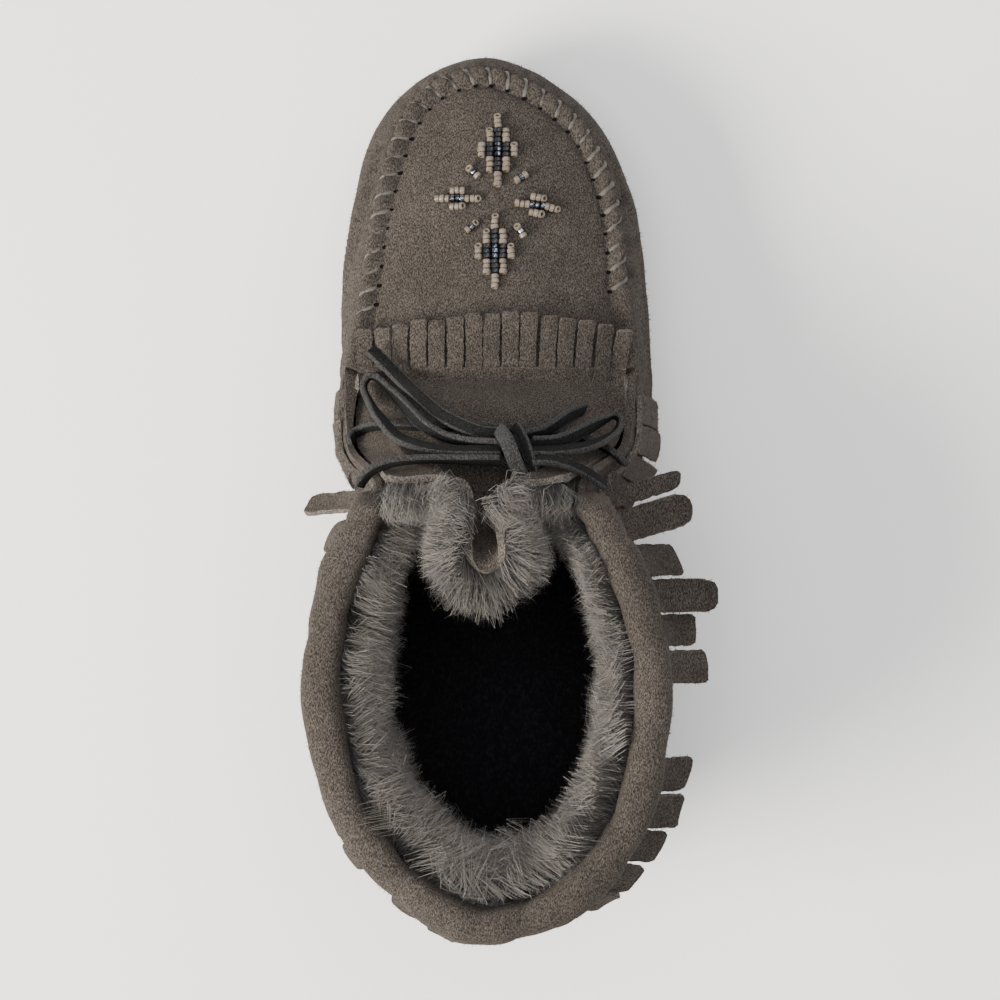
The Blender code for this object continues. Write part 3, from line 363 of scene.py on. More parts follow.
def close_sheet(outer: Array, inner: Array, faces: Array) -> tuple[Array, list, list[int]]:
    """Closed body between two sheets of the same faces.

    Args:
        outer: Points of the outer sheet.
        inner: Points of the inner sheet.
        faces: Quads of the outer sheet, facing out.

    Returns:
        Points, faces, and 0 for each outer face, 1 for each inner one and 2 for each one at the edge.
    """
    count = len(outer)
    quads = [tuple(face) for face in faces.tolist()]
    edges = set()
    for face in quads:
        for start, end in zip(face, face[1:] + face[:1]):
            if start != end:
                edges.add((start, end))
    sides = [quads, [tuple(index + count for index in reversed(face)) for face in quads]]
    sides.append([
        (end, start, start + count, end + count)
        for start, end in sorted(edges) if (end, start) not in edges
    ])
    polygons = []
    shades = []
    for shade, side in enumerate(sides):
        for face in side:
            corners = tuple(dict.fromkeys(face))
            if len(corners) > 2:
                polygons.append(corners)
                shades.append(shade)
    return np.concatenate((outer, inner)), polygons, shades


@dataclass
class Last:
    """The shoe's form: a ring of columns from the feather line up to the top line."""

    length: float = 244 * MM
    ball_width: float = 97 * MM
    collar_height: float = 115 * MM
    seam_height: float = 57 * MM
    heel_sole: float = 13.5 * MM
    side_bulge: float = 10.5 * MM
    apron_crown: float = 12 * MM
    wall: float = 2 * MM
    insole_inset: float = 0.9 * MM
    columns_per_row: int = 26
    levels: int = 129
    shift: Array = field(init=False)
    feather: Array = field(init=False)
    top: Array = field(init=False)
    bulge: Array = field(init=False)
    positions: Array = field(init=False)
    normals: Array = field(init=False)
    heights: Array = field(init=False)

    def __post_init__(self) -> None:
        """Works out the rings, moves them into the frame and maps the wall."""
        self.shift = np.zeros(3)
        self.set_rings()
        places = np.arange(2 * RING) / 2
        inside = ring_point(self.feather, places) - self.outward(places) * (self.wall + self.insole_inset)
        low, high = (np.array(corner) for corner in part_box("insole"))
        self.shift = (low + high) / 2 - (inside.min(axis=0) + inside.max(axis=0)) / 2
        self.shift[2] = 0.0
        self.set_rings()
        self.map_wall()

    def set_rings(self) -> None:
        """Turns the section tables into rings of points."""
        self.feather = self.ring(
            FEATHER_ROWS, lambda row, side: (side * self.ball_width, row.lift * self.heel_sole))
        self.top = self.ring(TOP_ROWS, lambda row, side: (side * self.ball_width, self.top_height(row)))
        medial = [(row.low * self.side_bulge, row.high * self.side_bulge, row.lean) for row in TOP_ROWS]
        self.bulge = np.array(medial + medial[1:-1][::-1])

    def ring(self, rows: Sequence, place_of) -> Array:
        """Ring of points from a table of sections.

        Args:
            rows: The sections.
            place_of: Gives x and z from a section and its medial or lateral share.

        Returns:
            Points up the medial side and back on the lateral side.
        """
        points = []
        for row, side in [(row, row.medial) for row in rows] + [(row, row.lateral) for row in rows[-2:0:-1]]:
            x, z = place_of(row, side)
            points.append((x, (row.along - 0.5) * self.length, z))
        return np.array(points) + self.shift

    def top_height(self, row: TopRow) -> float:
        """Height of the top line at a section."""
        return row.height * (self.seam_height if row.seamed else self.collar_height)

    def along(self, share: Array | float) -> Array | float:
        """Y at a share of the length from the toe."""
        return (share - 0.5) * self.length + self.shift[1]

    def outward(self, place: Array) -> Array:
        """Level direction out of the shoe at places on the ring."""
        step = 0.1
        ahead = ring_point(self.feather, place + step) + ring_point(self.top, place + step)
        behind = ring_point(self.feather, place - step) + ring_point(self.top, place - step)
        return unit(np.cross(ahead - behind, UP))

    def map_wall(self) -> None:
        """Maps the wall's outer face on a fine grid of places and depths."""
        places = np.arange(RING * self.columns_per_row) / self.columns_per_row
        foot = ring_point(self.feather, places)[:, None]
        head = ring_point(self.top, places)[:, None]
        low, high, lean = (ring_point(self.bulge, places)[:, None, axis:axis + 1] for axis in range(3))
        out = self.outward(places)[:, None]
        rise = head[..., 2:] - foot[..., 2:]
        share = np.linspace(0, 1, 161)[None, :, None]
        rest = 1 - share
        points = (
            head * rest ** 3
            + (head + out * high - UP * lean * rise) * 3 * rest ** 2 * share
            + (foot + out * low + UP * lean * rise) * 3 * rest * share ** 2
            + foot * share ** 3
        )
        steps = np.linalg.norm(np.diff(points, axis=1), axis=2)
        runs = np.concatenate((np.zeros((len(places), 1)), np.cumsum(steps, axis=1)), axis=1)
        self.heights = runs[:, -1]
        self.positions = np.zeros((len(places), self.levels, 3))
        for column, run in enumerate(runs):
            at = np.linspace(0, run[-1], self.levels)
            for axis in range(3):
                self.positions[column, :, axis] = np.interp(at, run, points[column, :, axis])
        around = np.roll(self.positions, -1, axis=0) - np.roll(self.positions, 1, axis=0)
        down = np.gradient(self.positions, axis=1)
        self.normals = unit(np.cross(down, around))

    def height(self, place: Array) -> Array:
        """Length of the wall from the top line down to the feather line."""
        at = np.mod(place, RING) * self.columns_per_row
        return np.interp(at, np.arange(len(self.heights) + 1), np.append(self.heights, self.heights[0]))

    def look_up(self, table: Array, place: Array, down: Array) -> Array:
        """Value of a wall table at places and depths below the top line."""
        at = np.mod(place, RING) * self.columns_per_row
        column = np.floor(at).astype(int) % len(self.heights)
        beside = (column + 1) % len(self.heights)
        side = (at - np.floor(at))[..., None]
        level = np.clip(down / self.height(place), 0, 1) * (self.levels - 1)
        row = np.minimum(np.floor(level).astype(int), self.levels - 2)
        drop = (level - row)[..., None]
        here = table[column, row] * (1 - side) + table[beside, row] * side
        below = table[column, row + 1] * (1 - side) + table[beside, row + 1] * side
        return here * (1 - drop) + below * drop

    def normal(self, place: Array, down: Array) -> Array:
        """Direction out of the wall."""
        place, down = np.broadcast_arrays(np.asarray(place, float), np.asarray(down, float))
        return unit(self.look_up(self.normals, place, down))

    def point(self, place: Array, down: Array, proud: Array | float = 0.0) -> Array:
        """Point off the wall's outer face.

        Args:
            place: Places on the ring.
            down: Distance below the top line.
            proud: Distance outside the face, or inside it where negative.

        Returns:
            One point for each place and depth.
        """
        place, down, proud = np.broadcast_arrays(*(np.asarray(item, float) for item in (place, down, proud)))
        return self.look_up(self.positions, place, down) + self.normal(place, down) * proud[..., None]

    def from_toe(self, place: Array) -> Array:
        """Sections from the toe at places on either side of the ring."""
        place = np.mod(place, RING)
        return np.minimum(place, RING - place)

    def seam_half(self, y: Array) -> tuple[Array, Array, Array]:
        """Medial X, lateral X and height of the apron's seam at y."""
        places = np.linspace(0, SEAM_END, 101)
        medial = ring_point(self.top, places)
        lateral = ring_point(self.top, -places)
        run = (medial[:, 1] + lateral[:, 1]) / 2
        level = (medial[:, 2] + lateral[:, 2]) / 2
        return np.interp(y, run, medial[:, 0]), np.interp(y, run, lateral[:, 0]), np.interp(y, run, level)

    def apron_height(self, x: Array, y: Array) -> Array:
        """Height of the apron's outer face at x, y."""
        medial, lateral, level = self.seam_half(y)
        across = (x - (medial + lateral) / 2) / np.maximum((medial - lateral) / 2, 1e-6)
        arch = 1 - np.minimum(np.abs(across), 1.0) ** 2.2
        rise = smooth_value(self.along(np.array(APRON_ALONG)), APRON_RISE, y)
        return level + rise * self.apron_crown * arch


# Materials

def add_node(
    tree: bpy.types.NodeTree,
    kind: str,
    settings: dict | None = None,
    values: dict | None = None,
    links: dict | None = None,
) -> bpy.types.Node:
    """Adds a node to a material.

    Args:
        tree: The material's node tree.
        kind: The node's type.
        settings: The node's own properties.
        values: Fixed values of its sockets.
        links: Sockets fed by other nodes' outputs.

    Returns:
        The new node.
    """
    node = tree.nodes.new(kind)
    for name, value in (settings or {}).items():
        setattr(node, name, value)
    for name, value in (values or {}).items():
        node.inputs[name].default_value = value
    for name, source in (links or {}).items():
        tree.links.new(source, node.inputs[name])
    return node


MIX_A, MIX_B, MIX_COLOUR = 6, 7, 2


@dataclass(frozen=True)
class Finish:
    """What every finish has: a name and a surface with a base colour."""

    name: str

    def start(self, roughness: float) -> tuple[bpy.types.Material, bpy.types.NodeTree, bpy.types.Node]:
        """New material with its tree and surface shader.

        Args:
            roughness: The surface's roughness.

        Returns:
            The material, its node tree and its shader.
        """
        material = bpy.data.materials.new(self.name)
        material.use_nodes = True
        tree = material.node_tree
        shader = tree.nodes["Principled BSDF"]
        shader.inputs["Roughness"].default_value = roughness
        return material, tree, shader

    def spots(
        self, tree: bpy.types.NodeTree, size_mm: float, stretch: tuple[float, float, float] = (1, 1, 1),
        detail: float = 2.0, low: float = 0.35, high: float = 0.65,
    ) -> bpy.types.NodeSocket:
        """Uneven value from 0 to 1 over the surface.

        Args:
            tree: The material's node tree.
            size_mm: Rough size of one spot.
            stretch: How much longer the spots are along X, Y and Z.
            detail: Finer levels in the pattern.
            low: Pattern value that gives 0.
            high: Pattern value that gives 1.

        Returns:
            The socket with the value.
        """
        place = add_node(tree, "ShaderNodeTexCoord")
        spread = add_node(
            tree, "ShaderNodeMapping",
            values={"Scale": tuple(1 / share for share in stretch)},
            links={"Vector": place.outputs["Object"]},
        )
        pattern = add_node(
            tree, "ShaderNodeTexNoise",
            values={"Scale": 1 / (size_mm * MM), "Detail": detail, "Roughness": 0.6},
            links={"Vector": spread.outputs["Vector"]},
        )
        level = add_node(
            tree, "ShaderNodeMapRange",
            values={"From Min": low, "From Max": high},
            links={"Value": pattern.outputs["Fac"]},
        )
        return level.outputs["Result"]

    def blend(
        self, tree: bpy.types.NodeTree, share: bpy.types.NodeSocket,
        first: str | bpy.types.NodeSocket, second: str | bpy.types.NodeSocket,
    ) -> bpy.types.NodeSocket:
        """Colour between two colours.

        Args:
            tree: The material's node tree.
            share: 0 for the first colour, 1 for the second.
            first: Hex code or socket.
            second: Hex code or socket.

        Returns:
            The socket with the colour.
        """
        node = add_node(tree, "ShaderNodeMix", settings={"data_type": "RGBA"}, links={"Factor": share})
        for index, colour in ((MIX_A, first), (MIX_B, second)):
            if isinstance(colour, str):
                node.inputs[index].default_value = linear(colour)
            else:
                tree.links.new(colour, node.inputs[index])
        return node.outputs[MIX_COLOUR]


@dataclass(frozen=True)
class Suede(Finish):
    """Cow split buffed on its flesh side.

    Buffing raises a short nap that lies in patches. Each fibre end is a light or dark fleck about
    half a millimetre long, there is no gloss, and grazing light catches the nap as a pale bloom.
    """

    dark: str
    light: str
    fleck_mm: float = 0.34
    bloom: float = 0.3
    relief: float = 0.6
    uneven: float = 1.0

    def make(self) -> bpy.types.Material:
        """Builds the material: flecks of nap, then soft uneven patches over them."""
        material, tree, shader = self.start(0.95)
        fleck = self.spots(tree, self.fleck_mm, (1.0, 2.0, 1.0), 3.0, 0.38, 0.74)
        nap = self.spots(tree, 3.4, (1.0, 1.6, 1.0), 2.0, 0.3, 0.7)
        patch = self.spots(tree, 28.0, (1.0, 1.3, 1.0), 2.0, 0.36, 0.66)
        values = []
        for source, spread in ((nap, 0.09), (patch, 0.12)):
            values.append(add_node(
                tree, "ShaderNodeMapRange",
                values={"To Min": 1 - spread * self.uneven, "To Max": 1 + spread * self.uneven},
                links={"Value": source},
            ).outputs["Result"])
        tone = add_node(
            tree, "ShaderNodeMath", settings={"operation": "MULTIPLY"}, links={0: values[0], 1: values[1]})
        shaded = add_node(
            tree, "ShaderNodeHueSaturation",
            links={"Color": self.blend(tree, fleck, self.dark, self.light), "Value": tone.outputs["Value"]},
        )
        tree.links.new(shaded.outputs["Color"], shader.inputs["Base Color"])
        bump = add_node(
            tree, "ShaderNodeBump",
            values={"Strength": self.relief, "Distance": 0.25 * MM},
            links={"Height": fleck},
        )
        tree.links.new(bump.outputs["Normal"], shader.inputs["Normal"])
        shader.inputs["Specular IOR Level"].default_value = 0.08
        shader.inputs["Sheen Weight"].default_value = self.bloom
        shader.inputs["Sheen Roughness"].default_value = 0.6
        shader.inputs["Sheen Tint"].default_value = linear(self.light)
        return material


@dataclass(frozen=True)
class FauxFur(Finish):
    """Knitted modacrylic pile.

    The dyed fibres are dark and matted at their roots and thin to pale tips, and each one has its
    own tone. The near-black at the roots is partly the dye and partly painted shade deep in the pile.
    Heat-set fibres have a soft silky gloss along their length.
    """

    root: str
    middle: str
    tip: str
    dim: str

    def make(self) -> bpy.types.Material:
        """Builds the material: the strand's own tone and its height are in its texture place."""
        material, tree, shader = self.start(0.55)
        place = add_node(tree, "ShaderNodeUVMap", settings={"uv_map": "strand"})
        parts = add_node(tree, "ShaderNodeSeparateXYZ", links={"Vector": place.outputs["UV"]})
        low = add_node(
            tree, "ShaderNodeMapRange", values={"From Max": 0.45}, links={"Value": parts.outputs["Y"]})
        high = add_node(
            tree, "ShaderNodeMapRange", values={"From Min": 0.4}, links={"Value": parts.outputs["Y"]})
        # Near-black root colour: partly the dye, partly painted shade deep in the pile.
        base = self.blend(tree, low.outputs["Result"], self.root, self.middle)
        toned = self.blend(tree, parts.outputs["X"], self.dim, self.tip)
        colour = self.blend(tree, high.outputs["Result"], base, toned)
        tree.links.new(colour, shader.inputs["Base Color"])
        shader.inputs["Specular IOR Level"].default_value = 0.25
        shader.inputs["Sheen Weight"].default_value = 0.25
        shader.inputs["Sheen Roughness"].default_value = 0.5
        return material


@dataclass(frozen=True)
class Glass(Finish):
    """Drawn glass seed bead, tumbled in heat so that its ends are round.

    Opaque glass is glossy with a small sharp highlight.
    """

    colour: str
    second: str
    roughness: float
    metallic: float = 0.0

    def make(self) -> bpy.types.Material:
        """Builds the material."""
        material, tree, shader = self.start(self.roughness)
        tone = self.spots(tree, 1.4, detail=1.0)
        tree.links.new(self.blend(tree, tone, self.colour, self.second), shader.inputs["Base Color"])
        shader.inputs["Metallic"].default_value = self.metallic
        return material


@dataclass(frozen=True)
class Thread(Finish):
    """Waxed three-ply polyester thread, pale grey-green, flat with a faint wax gloss."""

    colour: str
    second: str

    def make(self) -> bpy.types.Material:
        """Builds the material: the plies are fine light and dark streaks."""
        material, tree, shader = self.start(0.6)
        ply = self.spots(tree, 0.35, detail=2.0)
        tree.links.new(self.blend(tree, ply, self.colour, self.second), shader.inputs["Base Color"])
        bump = add_node(
            tree, "ShaderNodeBump", values={"Strength": 0.4, "Distance": 0.15 * MM}, links={"Height": ply})
        tree.links.new(bump.outputs["Normal"], shader.inputs["Normal"])
        return material


@dataclass(frozen=True)
class Cloth(Finish):
    """Brushed polyester lining cloth: matt, near black, with a faint fuzz."""

    colour: str
    lint: str

    def make(self) -> bpy.types.Material:
        """Builds the material."""
        material, tree, shader = self.start(0.95)
        fuzz = self.spots(tree, 0.8, (1, 1.6, 1), 3.0, 0.45, 0.75)
        tree.links.new(self.blend(tree, fuzz, self.colour, self.lint), shader.inputs["Base Color"])
        bump = add_node(
            tree, "ShaderNodeBump", values={"Strength": 0.5, "Distance": 0.3 * MM}, links={"Height": fuzz})
        tree.links.new(bump.outputs["Normal"], shader.inputs["Normal"])
        shader.inputs["Specular IOR Level"].default_value = 0.1
        return material


@dataclass(frozen=True)
class Crepe(Finish):
    """Natural rubber crepe: coagulated latex rolled between grooved rollers.

    The skin is crinkled and pitted, dull with a few slicker high spots.
    """

    colour: str
    worn: str

    def make(self) -> bpy.types.Material:
        """Builds the material."""
        material, tree, shader = self.start(0.7)
        crinkle = self.spots(tree, 2.2, (1, 1, 0.7), 4.0, 0.3, 0.7)
        dust = self.spots(tree, 14.0, detail=3.0, low=0.45, high=0.8)
        tree.links.new(self.blend(tree, dust, self.colour, self.worn), shader.inputs["Base Color"])
        bump = add_node(
            tree, "ShaderNodeBump", values={"Strength": 0.8, "Distance": 0.6 * MM}, links={"Height": crinkle})
        tree.links.new(bump.outputs["Normal"], shader.inputs["Normal"])
        return material


@dataclass(frozen=True)
class Paper(Finish):
    """Plain pale studio paper under the shoe."""

    colour: str

    def make(self) -> bpy.types.Material:
        """Builds the material."""
        material, _, shader = self.start(0.9)
        shader.inputs["Base Color"].default_value = linear(self.colour)
        return material


@dataclass
class Finishes:
    """All materials of the shoe."""

    suede: bpy.types.Material = field(init=False)
    suede_edge_fuzz_and_highlight: bpy.types.Material = field(init=False)
    lace: bpy.types.Material = field(init=False)
    lace_fuzz_and_highlight_edge: bpy.types.Material = field(init=False)
    fur: bpy.types.Material = field(init=False)
    fur_bed: bpy.types.Material = field(init=False)
    lining: bpy.types.Material = field(init=False)
    insole: bpy.types.Material = field(init=False)
    rubber: bpy.types.Material = field(init=False)
    thread: bpy.types.Material = field(init=False)
    hole: bpy.types.Material = field(init=False)
    beads: list[bpy.types.Material] = field(init=False)

    def __post_init__(self) -> None:
        """Builds each material once."""
        self.suede = Suede("taupe_split_suede", "#221e1b", "#5a544e").make()
        # Cut edges are lighter than the faces: partly the fuzz of the raw cut, partly painted highlight where the
        # edges catch the light.
        self.suede_edge_fuzz_and_highlight = Suede("suede_edge_fuzz_and_painted_highlight", "#37332f", "#7b746d").make()
        self.lace = Suede("charcoal_suede_lace", "#0e0e0e", "#282828", 0.34, 0.12, uneven=0.5).make()
        # The lace's cut edges are lighter than its faces: partly their fuzz, partly painted highlight on the edge that
        # faces up.
        self.lace_fuzz_and_highlight_edge = Suede("edges_of_lace_fuzz_and_painted_highlight", "#1c1c1c", "#4c4b4a", 0.34, 0.3, uneven=0.5).make()
        # Fibres run from near-black roots, partly painted shade deep in the pile, to pale tips.
        self.fur = FauxFur("modacrylic_pile", "#141210", "#403c37", "#847f79", "#4a4641").make()
        self.fur_bed = Cloth("knitted_pile_backing", "#1f1d1a", "#34312c").make()
        # Near-black lining; on the backing below the fur it is painted shade deep in the shoe.
        self.lining = Cloth("black_brushed_lining", "#0a0a0b", "#1a1a1c").make()
        self.insole = Cloth("black_insole_cloth", "#0e0e11", "#202024").make()
        self.rubber = Crepe("natural_crepe_rubber", "#1b1916", "#2f2b26").make()
        self.thread = Thread("waxed_thread", "#3b3832", "#57524b").make()
        # Dark dots in the needle holes: painted shade.
        self.hole = Cloth("shadow_in_needle_hole", "#050504", "#090807").make()
        self.beads = [
            Glass("tan_opaque_glass", "#61564b", "#73685b", 0.35).make(),
            Glass("black_opaque_glass", "#0f1012", "#191b1e", 0.3).make(),
            Glass("hematite_coated_glass", "#3a3e45", "#858b96", 0.14, 1.0).make(),
        ]


# Studio

@dataclass
class Studio:
    """Camera straight above the shoe, its toe up in the picture, and plain soft light."""

    camera_height: float = 1.0
    lens: float = 114.6
    middle_x: float = -1.95 * MM
    middle_y: float = 3.9 * MM
    floor_size: float = 6.0

    def camera(self) -> None:
        """Places the camera at the photo's angle."""
        data = bpy.data.cameras.new("camera")
        data.lens = self.lens
        data.sensor_width = 36.0
        camera = bpy.data.objects.new("camera", data)
        camera.location = (self.middle_x, self.middle_y, self.camera_height)
        camera.rotation_euler = (0.0, 0.0, math.pi)
        bpy.context.collection.objects.link(camera)
        bpy.context.scene.camera = camera

    def light(self, name: str, place: Sequence[float], size: float, power: float, tint: str) -> None:
        """Adds a square soft light that faces the shoe.

        Args:
            name: The light's name.
            place: Where it stands.
            size: Side of the square, in metres.
            power: Watts.
            tint: Hex colour.
        """
        data = bpy.data.lights.new(name, "AREA")
        data.shape = "SQUARE"
        data.size = size
        data.energy = power
        data.color = linear(tint)[:3]
        lamp = bpy.data.objects.new(name, data)
        lamp.location = place
        lamp.rotation_euler = Vector(place).to_track_quat("Z", "Y").to_euler()
        bpy.context.collection.objects.link(lamp)

    def dress(self) -> None:
        """Adds the floor, the lights and the room's even light."""
        half = self.floor_size / 2
        mesh = bpy.data.meshes.new("floor")
        mesh.from_pydata([(-half, -half, 0), (half, -half, 0), (half, half, 0), (-half, half, 0)], [],
                         [(0, 1, 2, 3)])
        mesh.materials.append(Paper("white_studio_paper", "#f4f4f2").make())
        floor = bpy.data.objects.new("floor", mesh)
        bpy.context.collection.objects.link(floor)
        self.light("key", (1.1, 0.45, 0.95), 0.7, 62.0, "#fffaf2")
        self.light("fill", (-0.8, -1.0, 0.95), 1.0, 8.0, "#f8f4ff")
        self.light("top", (0.1, -0.2, 1.7), 1.2, 20.0, "#ffffff")
        world = bpy.data.worlds.new("room")
        world.use_nodes = True
        world.node_tree.nodes["Background"].inputs["Color"].default_value = linear("#ffffff")
        world.node_tree.nodes["Background"].inputs["Strength"].default_value = 0.62
        bpy.context.scene.world = world


# Skin of the upper

class Crease(NamedTuple):
    """Soft trough or ridge in the suede, from one place to another on the wall."""

    place: float
    down: float         # share of the wall's height
    to_place: float
    to_down: float
    width: float        # mm
    rise: float         # mm, negative for a trough


CREASES = (
    Crease(2.2, 0.20, 3.6, 0.26, 3.2, -0.7),
    Crease(2.6, 0.38, 4.3, 0.34, 4.0, 0.6),
    Crease(3.4, 0.52, 5.2, 0.44, 3.6, -0.7),
    Crease(4.2, 0.22, 5.6, 0.60, 4.2, -1.0),
    Crease(4.7, 0.30, 5.8, 0.70, 3.8, 0.8),
    Crease(5.3, 0.45, 6.3, 0.86, 4.6, -1.1),
    Crease(5.9, 0.40, 7.4, 0.80, 5.0, 0.7),
    Crease(6.6, 0.62, 8.6, 0.78, 5.5, -1.0),
    Crease(8.0, 0.50, 9.8, 0.62, 6.0, 0.8),
    Crease(9.2, 0.72, 11.4, 0.66, 6.0, -0.9),
    Crease(20.60, 0.02, 20.75, 0.34, 3.2, 1.3),
    Crease(20.95, 0.02, 21.10, 0.30, 2.4, -1.0),
    Crease(20.30, 0.03, 20.25, 0.32, 2.4, -0.9),
    Crease(21.8, 0.20, 20.4, 0.30, 3.4, -0.6),
    Crease(20.6, 0.42, 18.9, 0.44, 4.0, -0.8),
    Crease(19.8, 0.26, 18.4, 0.62, 4.2, -1.0),
    Crease(19.3, 0.30, 18.2, 0.72, 3.8, 0.8),
    Crease(18.7, 0.45, 17.6, 0.86, 4.6, -1.1),
    Crease(17.9, 0.40, 16.5, 0.80, 5.0, 0.8),
    Crease(17.2, 0.60, 15.4, 0.76, 5.5, -1.0),
    Crease(16.0, 0.50, 14.3, 0.64, 6.0, 0.8),
    Crease(14.6, 0.72, 12.6, 0.66, 6.0, -0.9),
)


@dataclass
class Seam:
    """Hand-whipped seam: a raised ridge with a needle hole inside it at every stitch."""

    last: Last
    rise: float = 3.3 * MM
    half: float = 3.0 * MM
    pitch: float = 6.0 * MM
    thread_radius: float = 0.6 * MM
    stitches: int = 30
    lean: float = 0.17
    depth: float = 0.58

    def ridge(self, off: Array) -> Array:
        """Rise of the ridge and of the hollow at its foot, off metres from its middle."""
        reach = np.abs(off) / self.half
        hollow = np.exp(-((reach - 1.12) / 0.22) ** 2)
        return self.rise * np.cos(np.minimum(reach, 1.0) * math.pi / 2) ** 1.2 - 0.55 * MM * hollow

    def share(self, place: Array) -> Array:
        """1 along the seam, fading out at the throat's foot."""
        return np.clip((SEAM_END + 0.75 - self.last.from_toe(place)) / 0.75, 0, 1)

    def places(self) -> Array:
        """Place on the ring of each stitch, lateral end first."""
        fine = np.linspace(-SEAM_END - 0.1, SEAM_END + 0.1, 1201)
        line = ring_point(self.last.top, fine)
        run = np.concatenate(((0.0,), np.cumsum(np.linalg.norm(np.diff(line, axis=0), axis=1))))
        run -= np.interp(0.0, fine, run)
        at = (np.arange(self.stitches) - (self.stitches - 1) / 2) * self.pitch
        return np.interp(at, run, fine)

    def pinch(self, place: Array, off: Array | float) -> Array:
        """How near a point is to a stitch's line over the ridge, from 0 to 1.

        Args:
            place: Places on the ring.
            off: Metres from the ridge's middle, outwards.

        Returns:
            1 on a stitch, 0 halfway between two.
        """
        signed = np.mod(np.asarray(place) + RING / 2, RING) - RING / 2
        signed = signed - self.lean * np.clip((off + self.half) / (2.2 * self.half), 0, 1.2)
        stitches = self.places()
        nearest = np.min(np.abs(signed[..., None] - stitches), axis=-1)
        gap = np.gradient(stitches).mean()
        return np.cos(np.minimum(nearest / gap, 0.5) * math.pi) ** 4

    def crest(self, place: Array, off: Array) -> Array:
        """Rise of the ridge at a place, drawn in under each stitch."""
        return self.ridge(off) * (1 - self.depth * self.pinch(place, off))

    def inside(self, place: Array, inset: float) -> Array:
        """Point on the apron, inset from the seam's middle."""
        edge = ring_point(self.last.top, place)
        point = edge - self.last.outward(place) * inset
        point[..., 2] = self.last.apron_height(point[..., 0], point[..., 1])
        return point

    def build(self, finishes: Finishes) -> None:
        """Lays the thread over the ridge and paints the shade in each needle hole as a dark dot."""
        rng = random.Random(11)
        points: list = []
        faces: list = []
        hole_shadow_points: list = []
        hole_shadow_faces: list = []
        for place in self.places():
            lean = self.lean + rng.uniform(-0.03, 0.03)
            drawn = self.rise * (1 - self.depth)
            hole = self.inside(np.array(place), self.half + 0.3 * MM)
            inner = self.inside(np.array(place + lean * 0.2), self.half * 0.6) + UP * (drawn * 0.35)
            crest = ring_point(self.last.top, np.array(place + lean * 0.45)) + UP * (drawn + 0.15 * MM)
            shoulder = self.last.point(place + lean * 0.8, 1.6 * MM, drawn * 0.75)
            outer = self.last.point(place + lean * 1.1, 3.2 * MM, -0.6 * MM)
            route = even_curve(np.array([hole - UP * 1.2 * MM, inner, crest, shoulder, outer]), 0.7 * MM)
            self.tube(points, faces, route, self.thread_radius * rng.uniform(0.85, 1.2))
            self.dot(hole_shadow_points, hole_shadow_faces, hole, rng.uniform(0.50, 0.72) * MM)
        add_piece("whip_stitches", np.array(points), faces, None, [finishes.thread], Slot.SUEDE)
        add_piece("needle_hole_shadows", np.array(hole_shadow_points), hole_shadow_faces, None, [finishes.hole], Slot.SUEDE)

    def tube(self, points: list, faces: list, route: Array, radius: float, sides: int = 8) -> None:
        """Adds a round thread along a route to a list of points and faces."""
        base = len(points)
        tangents = unit(np.gradient(route, axis=0))
        side = unit(np.cross(tangents, UP))
        up = np.cross(side, tangents)
        for index in range(len(route)):
            taper = 0.75 + 0.25 * math.sin(math.pi * index / (len(route) - 1))
            for turn in range(sides):
                angle = 2 * math.pi * turn / sides
                ply = 1 + 0.10 * math.cos(3 * angle + index * 1.3)
                points.append(route[index] + (
                    side[index] * math.cos(angle) * 1.25 + up[index] * math.sin(angle) * 0.85
                ) * radius * taper * ply)
        for index in range(len(route) - 1):
            for turn in range(sides):
                here = base + index * sides + turn
                there = base + index * sides + (turn + 1) % sides
                faces.append((here, here + sides, there + sides, there))
        faces.append(tuple(range(base, base + sides)))
        faces.append(tuple(range(base + len(route) * sides - sides, base + len(route) * sides))[::-1])

    def dot(self, points: list, faces: list, middle: Array, radius: float) -> None:
        """Adds a small dark dimple, painted shade in a needle hole, to a list of points and faces."""
        base = len(points)
        sides = 10
        for level, (reach, lift) in enumerate(((1.0, 0.10), (0.75, 0.16), (0.7, -0.5))):
            for turn in range(sides):
                angle = 2 * math.pi * turn / sides
                points.append(middle + np.array((
                    math.cos(angle) * reach * radius * 1.25,
                    math.sin(angle) * reach * radius * 0.85,
                    lift * MM,
                )))
        for level in range(2):
            for turn in range(sides):
                here = base + level * sides + turn
                there = base + level * sides + (turn + 1) % sides
                faces.append((here, there, there + sides, here + sides))
        faces.append(tuple(range(base, base + sides))[::-1])
        faces.append(tuple(range(base + 2 * sides, base + 3 * sides)))


